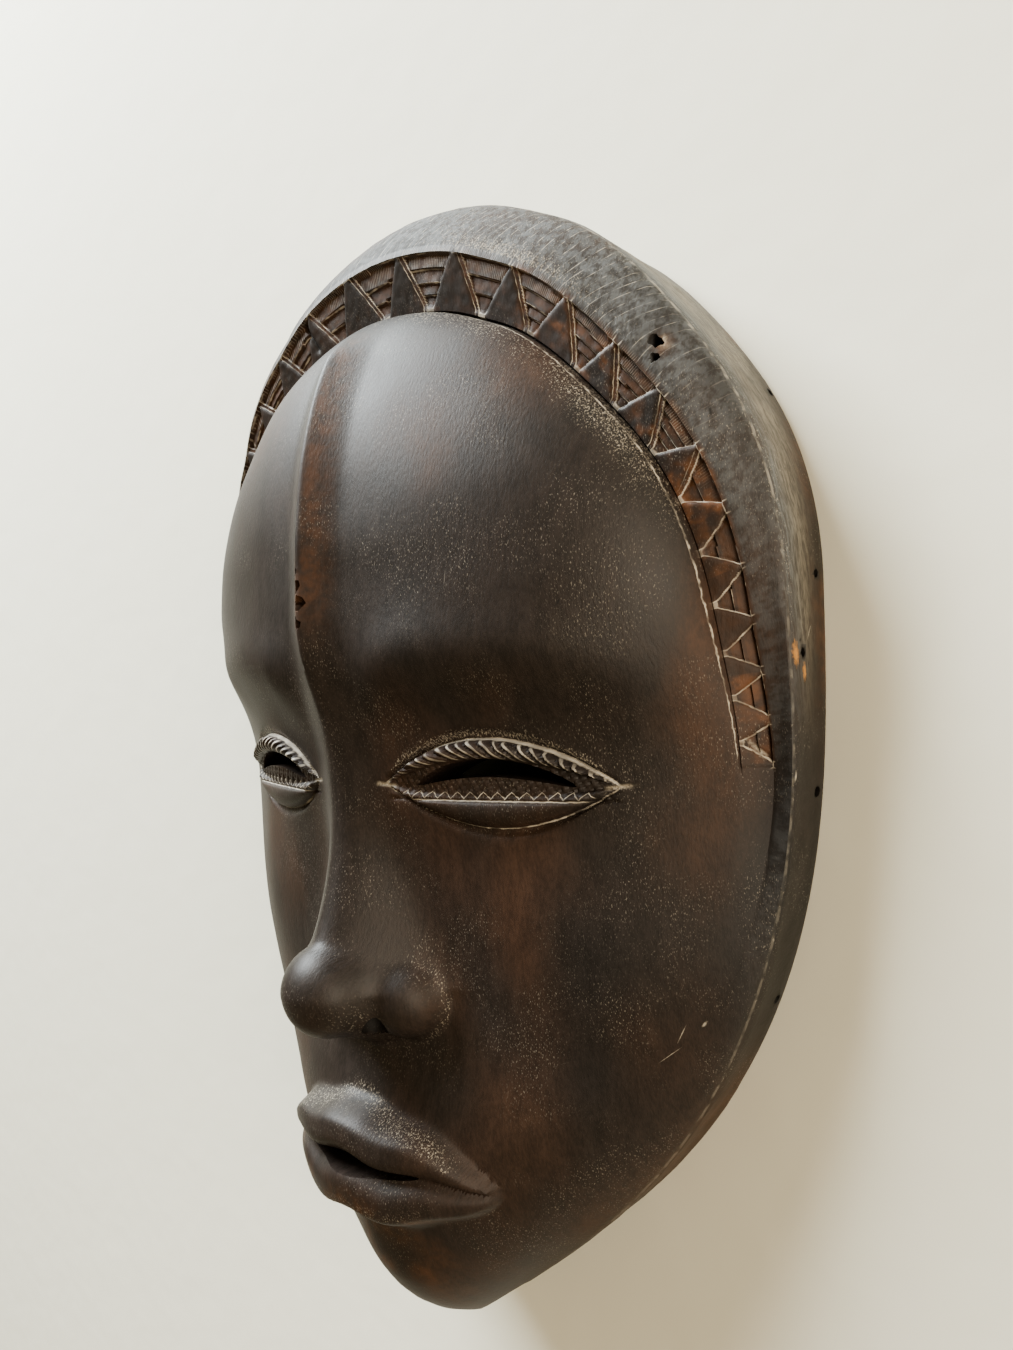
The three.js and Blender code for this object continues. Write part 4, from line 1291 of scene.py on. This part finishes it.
def place_on_side(x, y, z):
    """Where a point of the side wall lies in the run round the mask."""
    angle = np.array([math.atan2(y - GAUGE_Y, x)])
    g = {name: float(value[0]) for name, value in gauge_at(angle).items()}
    return float(run_of(angle)[0]) * g["reach"], (1 - g["outer"]) * g["reach"] + g["side"] - z


def scars(desk, place, rag, kind, table):
    """All the scars of one kind, the strongest on top."""
    total = None
    for x, y, half_length, half_width, turn, colour in table:
        if colour != kind:
            continue
        mapping = {
            "Vector": place,
            "Location": (x * MM, y * MM, 0),
            "Rotation": (0, 0, math.radians(turn)),
            "Scale": (half_length * MM, half_width * MM, 1),
        }
        local = desk.node("ShaderNodeMapping", mapping, vector_type="TEXTURE")
        (mask,) = desk.group(scar, ["Mask"], local=local, rag=rag)
        total = mask if total is None else total.larger(mask)
    return total


def knife_lines(desk, place, run):
    """Pale dust in the fine cuts of the border, the dome's edge and the eyes.

    Also gives masks of the dark triangles with the painted shadow under each tread, the side wall, its lower
    part and the outside near the arris.
    """
    wobble = (place.noise(700, 1, 0.6) - 0.5) * 0.3
    gaps = place.noise(350, 1, 0.65).band(0.36, 0.6)

    def line(distance, half_width, worn=0.6):
        cut = {"distance": distance, "half_width": half_width, "worn": worn}
        return desk.group(thin_line, ["Mask"], wobble=wobble, gaps=gaps, **cut)[0]

    def near_step(phase, pitch):
        """Distance from the nearest whole phase, for steps of a given pitch."""
        return phase.math("PINGPONG", 0.5) * pitch

    def fields(name):
        return desk.attribute(name, "Vector").parts()

    edge, phase, p = fields("cell")
    row, here, plain = fields("cell_size")
    from_dome, outer_edge, arris = fields("lines")
    shown = here.band(-1, -0.5)
    on_border = here.larger(0)
    busy = 1 - plain
    right_side = p.band(-0.04, 0.02, 1, 0) * busy
    in_cell = edge.band(-0.1, 0.1, 1, 0)
    cuts = line(edge, 0.065)
    cuts = cuts.larger(line(edge - FACET_WIDTH, 0.045, 0.8) * right_side)
    treads = line(near_step(phase, row), 0.07, 0.7) * phase.band(0.3, 0.4)
    treads = treads * in_cell * plain.band(0, 1, 1, 0.6)
    # Painted shadow: a dark line just beside each tread's pale line, in the cells
    shade = near_step(phase + 0.16, row).band(0.1, 0.4, 1, 0) * in_cell
    hatch = (run.parts()[0] * (2 * math.pi / (HATCH_PITCH * MM))).math("SINE")
    hatch = hatch.band(0.4, 0.95, 0, 0.4) * gaps * (phase.band(0.8, 1, 1, 0) * in_cell)
    cuts = cuts.larger(treads.larger(hatch * busy))
    strip = line(outer_edge, 0.06, 1.0) * 0.7
    border = cuts.larger(strip) * on_border

    y = place.parts()[1]
    above_end = y.band(BORDER_END * MM, (BORDER_END + 4) * MM)
    dome = line(from_dome, 0.015, 0.8) * above_end * shown

    above, below, cord = fields("eye")
    inner, height, along = fields("eye_row")
    near = along.math("ABSOLUTE").band(EYE_HALF - 0.4, EYE_HALF + 0.6, 1, 0)
    upper, lower = height.band(-0.5, -0.3), height.band(0.3, 0.5, 1, 0)
    on_lid = inner.band(-0.1, 0.3) * above.band(-0.3, 0.1, 1, 0)
    eyes = line(above - 0.2, 0.22, 0.35) * upper
    eyes = eyes.larger(line(below - 0.3, 0.12, 0.8) * lower)
    cords = line(near_step(cord, CORD_PITCH), 0.3) * (on_lid * height.band(0, 0.3))
    eyes = eyes.larger(cords * 0.9)
    eyes = eyes.larger(line(height + (0.35 - ROW_FLOOR), 0.12, 0.4) * below.band(-0.6, 0, 1, 0))
    zigzag = near_step(along * (1 / LEAF_PITCH), 2.8)
    teeth = line(height - ROW_FLOOR - zigzag, 0.1, 0.5)
    under_slit = inner.band(-0.2, 0.1, 1, 0) * height.band(ROW_FLOOR - 0.2, ROW_FLOOR)
    teeth = teeth * below.band(-0.5, -0.1, 1, 0)
    eyes = eyes.larger(teeth * under_slit)
    eyes = eyes * near * shown

    step = desk.group(knife_chatter, ["Phase", "Height"], run=run)[0]
    steps = line(near_step(step, CHATTER_PITCH), 0.05, 0.9) * (desk.attribute("chatter") * 0.6)
    worn_arris = line(arris - 0.25, 0.4, 0.95) * y.band(0.02, 0.07, 0.35, 1)
    bevel = steps.larger(worn_arris * 0.5)
    triangles_and_tread_shadow = (edge.band(0, 0.25) * 0.6).larger(shade) * on_border
    lines = border.larger(bevel).larger(dome.larger(eyes))
    return lines, triangles_and_tread_shadow, arris.band(-0.1, 0.2), arris.band(1.5, 9), arris.band(-60, -50)


def new_material(name):
    """An empty material and the desk for its nodes."""
    material = bpy.data.materials.new(name)
    material.use_nodes = True
    material.node_tree.nodes.clear()
    return material, Desk(material.node_tree)


def finish_material(desk, surface, height, strength, distance):
    """Places the bump, the shader and the output. The shader's other inputs are given by name."""
    normal = desk.node("ShaderNodeBump", {"Strength": strength, "Distance": distance, "Height": height})
    shader = desk.node("ShaderNodeBsdfPrincipled", {**surface, "Normal": normal})
    desk.place("ShaderNodeOutputMaterial", {"Surface": shader})


COOL_WOOD = (0.012, 0.012, 0.0125)
# Colour of the dark triangles, also used for the painted shadow under the treads
TRIANGLE_AND_TREAD_SHADOW = (0.02, 0.0145, 0.0115)
# Near black of dark marks and of the painted shade in the groove and holes
DARK_MARK_AND_SHADE = (0.006, 0.005, 0.004)


def dark_wood(settings):
    material, desk = new_material("dark_wood")
    place = desk.node("ShaderNodeTexCoord", (), "Object")
    run = desk.attribute("run", "Vector")
    masks = {name: desk.attribute(name) for name in MASKS}
    streak, fine, pore = desk.group(wood_grain, ["Streak", "Fine", "Pore"], vector=place)

    # Stained wood: near black, with redder and cooler patches, streaked along the grain
    patches = place.stretch(1, 0.6, 1).noise(24, 2, 0.6)
    colour = desk.mix(patches.band(0.42, 0.68), settings.wood, settings.warm_wood)
    cool = place.stretch(1, 0.8, 1).noise(17, 1, 0.5)
    colour = desk.mix(cool.band(0.5, 0.72, 0, 0.8), colour, COOL_WOOD)
    dim = streak.band(0.3, 0.7, 0.7, 1.35)
    tint = desk.node("ShaderNodeCombineColor", {0: dim, 1: dim, 2: dim})
    colour = desk.mix(1.0, colour, tint, "MULTIPLY")
    lines, triangles_and_tread_shadow, side, lower, near_arris = knife_lines(desk, place, run)

    # Wear shows orange wood, weathering greys it: in streaks round the side, in blotches on the bevel
    rubbed = place.noise(380, 2, 0.6)
    worn = masks["wear"] * rubbed.band(0.3, 0.62, 0.35, 1.0)
    orange = desk.mix(rubbed, settings.warm_wood, settings.worn_wood)
    colour = desk.mix(worn * 0.9, colour, orange)
    stretched = {"Factor": side, "A": run.stretch(0.4, 0.22, 0.5), "B": run.stretch(0.22, 1, 0.1)}
    weathered = desk.node("ShaderNodeMix", stretched, "Result", data_type="VECTOR").noise(1300, 2, 0.72)
    greyed = weathered.band(0.34, 0.64, 0.25, 1.0)
    grey = desk.mix(lower, settings.grey_wood, settings.side_wood)
    colour = desk.mix(masks["grey"] * greyed, colour, grey)
    # Dark triangles and the painted shadow under the treads
    colour = desk.mix(triangles_and_tread_shadow * (0.85 - worn), colour, TRIANGLE_AND_TREAD_SHADOW)

    # Pores and orange scars, which lie under the dust
    colour = desk.mix(pore * 0.26, colour, settings.pale_dust)
    rag = place.noise(1500, 1, 0.6)
    beside = [(*place_on_side(*mark[:3]), *mark[3:]) for mark in SIDE_SCARS]
    front = near_arris * (1 - side)
    pale_scars, dark_scars = (
        (scars(desk, place, rag, kind, FRONT_SCARS) * front).larger(
            scars(desk, run, rag, kind, beside) * side
        )
        for kind in ("pale", "dark")
    )
    orange_scars = scars(desk, run, rag, "orange", beside) * side
    colour = desk.mix(orange_scars * 0.9, colour, settings.bare_wood)

    # Dust, knife lines, pale scars, and dark marks that include painted shade in the groove and in holes
    (dust,) = desk.group(settled_dust, ["Mask"], vector=place, cuts=masks["dust"], haze=masks["haze"])
    pale = desk.mix(rubbed, settings.dust, settings.pale_dust)
    colour = desk.mix(dust, colour, pale)
    drawn = (lines * 0.8).larger(pale_scars * 0.55)
    colour = desk.mix(drawn * 0.95, colour, settings.pale_dust)
    settled = dust.larger(drawn)
    # Near black: dark scars and marks, with painted shade in the dome's groove and on the walls of holes
    black = (masks["dark"] * 0.85).larger(dark_scars * 0.8)
    black = black * (1 - lines)
    colour = desk.mix(black, colour, DARK_MARK_AND_SHADE)

    rough = patches.band(0.3, 0.7, 0.42, 0.54) + streak * 0.12
    for mask, roughness in ((masks["grey"], 0.62), (masks["chatter"], 0.74), (settled, 0.85), (black, 0.8)):
        rough = rough.larger(mask * roughness)

    step_height = desk.group(knife_chatter, ["Phase", "Height"], run=run)[1]
    height = fine * (masks["grey"] * 0.6 + 0.5) + masks["chatter"] * step_height
    surface = {"Base Color": colour, "Roughness": rough, "Specular IOR Level": 0.37}
    finish_material(desk, surface, height, 0.35, 0.35 * MM)
    return material


def pale_floor(settings):
    material, desk = new_material("pale_floor")
    swell = desk.node("ShaderNodeTexCoord", (), "Object").noise(55, 2, 0.55)
    finish_material(desk, {"Base Color": (*settings.floor, 1), "Roughness": 0.8}, swell, 0.25, 1.2 * MM)
    return material


def colour_property(name, description, default):
    return bpy.props.FloatVectorProperty(
        name=name, description=description, default=default, subtype="COLOR", size=3, min=0, max=1
    )


class MaskSettings(bpy.types.PropertyGroup):
    """Colours of the mask."""

    wood: colour_property("Wood", "Colour of the stained wood", (0.02, 0.0145, 0.012))
    warm_wood: colour_property("Warm wood", "Colour of its redder patches", (0.048, 0.0245, 0.0145))
    worn_wood: colour_property("Worn wood", "Colour where the stain is rubbed off", (0.17, 0.07, 0.028))
    grey_wood: colour_property("Grey wood", "Colour where the wood is weathered", (0.114, 0.12, 0.125))
    side_wood: colour_property("Side wood", "Colour of the weathered side", (0.2, 0.178, 0.142))
    bare_wood: colour_property("Bare wood", "Colour of fresh wood in scars", (0.42, 0.2, 0.06))
    dust: colour_property("Dust", "Colour of the dust in cuts", (0.4, 0.345, 0.265))
    pale_dust: colour_property("Pale dust", "Colour of its palest places", (0.56, 0.51, 0.43))


class StageSettings(bpy.types.PropertyGroup):
    """Colour of the floor and power of the lights."""

    floor: colour_property("Floor", "Colour of the floor", (0.84, 0.82, 0.7))
    key: bpy.props.FloatProperty(
        name="Key light", description="Power of the main light", default=60, unit="POWER"
    )


class MASK_OT_carve(bpy.types.Operator):
    """Carve the mask"""

    bl_idname = "mask.carve"
    bl_label = "Carve the mask"

    def execute(self, context):
        obj = build_mask()
        obj.data.materials.clear()
        obj.data.materials.append(dark_wood(context.scene.mask_settings))
        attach(obj, "root")
        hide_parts("mask")
        return {"FINISHED"}


CAMERA_PLACE = (150.782, 19.015, 177.493)
CAMERA_TURN = (-0.6347, 40.048, -2.047)
CAMERA_LENS = 24.96
FLOOR_SIZE = 6.0
FLOOR_DROP = 0.0002  # keeps the floor just under the rim
ROOM_COLOUR, ROOM_STRENGTH = (1.0, 0.81, 0.5, 1), 0.31

# Name, place, size, share of the main light's power, colour
LIGHTS = (
    ("key", (-0.65, 1.0, 0.52), 0.76, 0.98, (0.92, 0.98, 1.0)),
    ("right", (1.15, 0.1, 0.5), 0.9, 0.28, (1.0, 0.88, 0.72)),
)


class MASK_OT_stage(bpy.types.Operator):
    """Set the floor, the lights and the camera"""

    bl_idname = "mask.stage"
    bl_label = "Set the stage"

    def execute(self, context):
        settings = context.scene.mask_stage
        deselect()
        bpy.ops.mesh.primitive_plane_add(size=FLOOR_SIZE, location=(0, 0, -FLOOR_DROP))
        floor = context.object
        floor.name = "floor"
        bpy.ops.object.transform_apply(location=True, rotation=True, scale=True)
        floor.data.materials.append(pale_floor(settings))
        camera_data = bpy.data.cameras.new("camera")
        camera_data.lens = CAMERA_LENS
        camera_data.sensor_width = 36
        camera_data.clip_start = 0.01
        camera = bpy.data.objects.new("camera", camera_data)
        camera.location = Vector(CAMERA_PLACE) * MM
        camera.rotation_euler = Euler([math.radians(a) for a in CAMERA_TURN])
        context.collection.objects.link(camera)
        context.scene.camera = camera
        for name, place, size, share, colour in LIGHTS:
            self.light(name, place, size, settings.key * share, colour)
        context.scene.view_settings.look = "AgX - Medium High Contrast"
        world = bpy.data.worlds.new("room")
        context.scene.world = world
        world.use_nodes = True
        back = world.node_tree.nodes["Background"]
        back.inputs["Color"].default_value = ROOM_COLOUR
        back.inputs["Strength"].default_value = ROOM_STRENGTH
        return {"FINISHED"}

    def light(self, name, place, size, power, colour):
        data = bpy.data.lights.new(name, "AREA")
        data.size = size
        data.energy = power
        data.color = colour
        obj = bpy.data.objects.new(name, data)
        obj.location = place
        obj.rotation_euler = (-Vector(place)).to_track_quat("-Z", "Y").to_euler()
        bpy.context.collection.objects.link(obj)


class MASK_PT_panel(bpy.types.Panel):
    """Settings and buttons to carve the mask and set the stage"""

    bl_label = "Carved mask"
    bl_idname = "MASK_PT_panel"
    bl_space_type = "VIEW_3D"
    bl_region_type = "UI"
    bl_category = "Mask"

    def draw(self, context):
        layout = self.layout
        layout.prop(context.scene.mask_settings, "wood")
        layout.operator(MASK_OT_carve.bl_idname)
        layout.prop(context.scene.mask_stage, "floor")
        layout.prop(context.scene.mask_stage, "key")
        layout.operator(MASK_OT_stage.bl_idname)


CLASSES = (MaskSettings, StageSettings, MASK_OT_carve, MASK_OT_stage, MASK_PT_panel)


def register():
    for item in CLASSES:
        bpy.utils.register_class(item)
    bpy.types.Scene.mask_settings = bpy.props.PointerProperty(type=MaskSettings)
    bpy.types.Scene.mask_stage = bpy.props.PointerProperty(type=StageSettings)


def unregister():
    del bpy.types.Scene.mask_stage
    del bpy.types.Scene.mask_settings
    for item in reversed(CLASSES):
        bpy.utils.unregister_class(item)


def main():
    register()
    bpy.ops.mask.stage()
    bpy.ops.mask.carve()


if __name__ == "__main__":
    main()
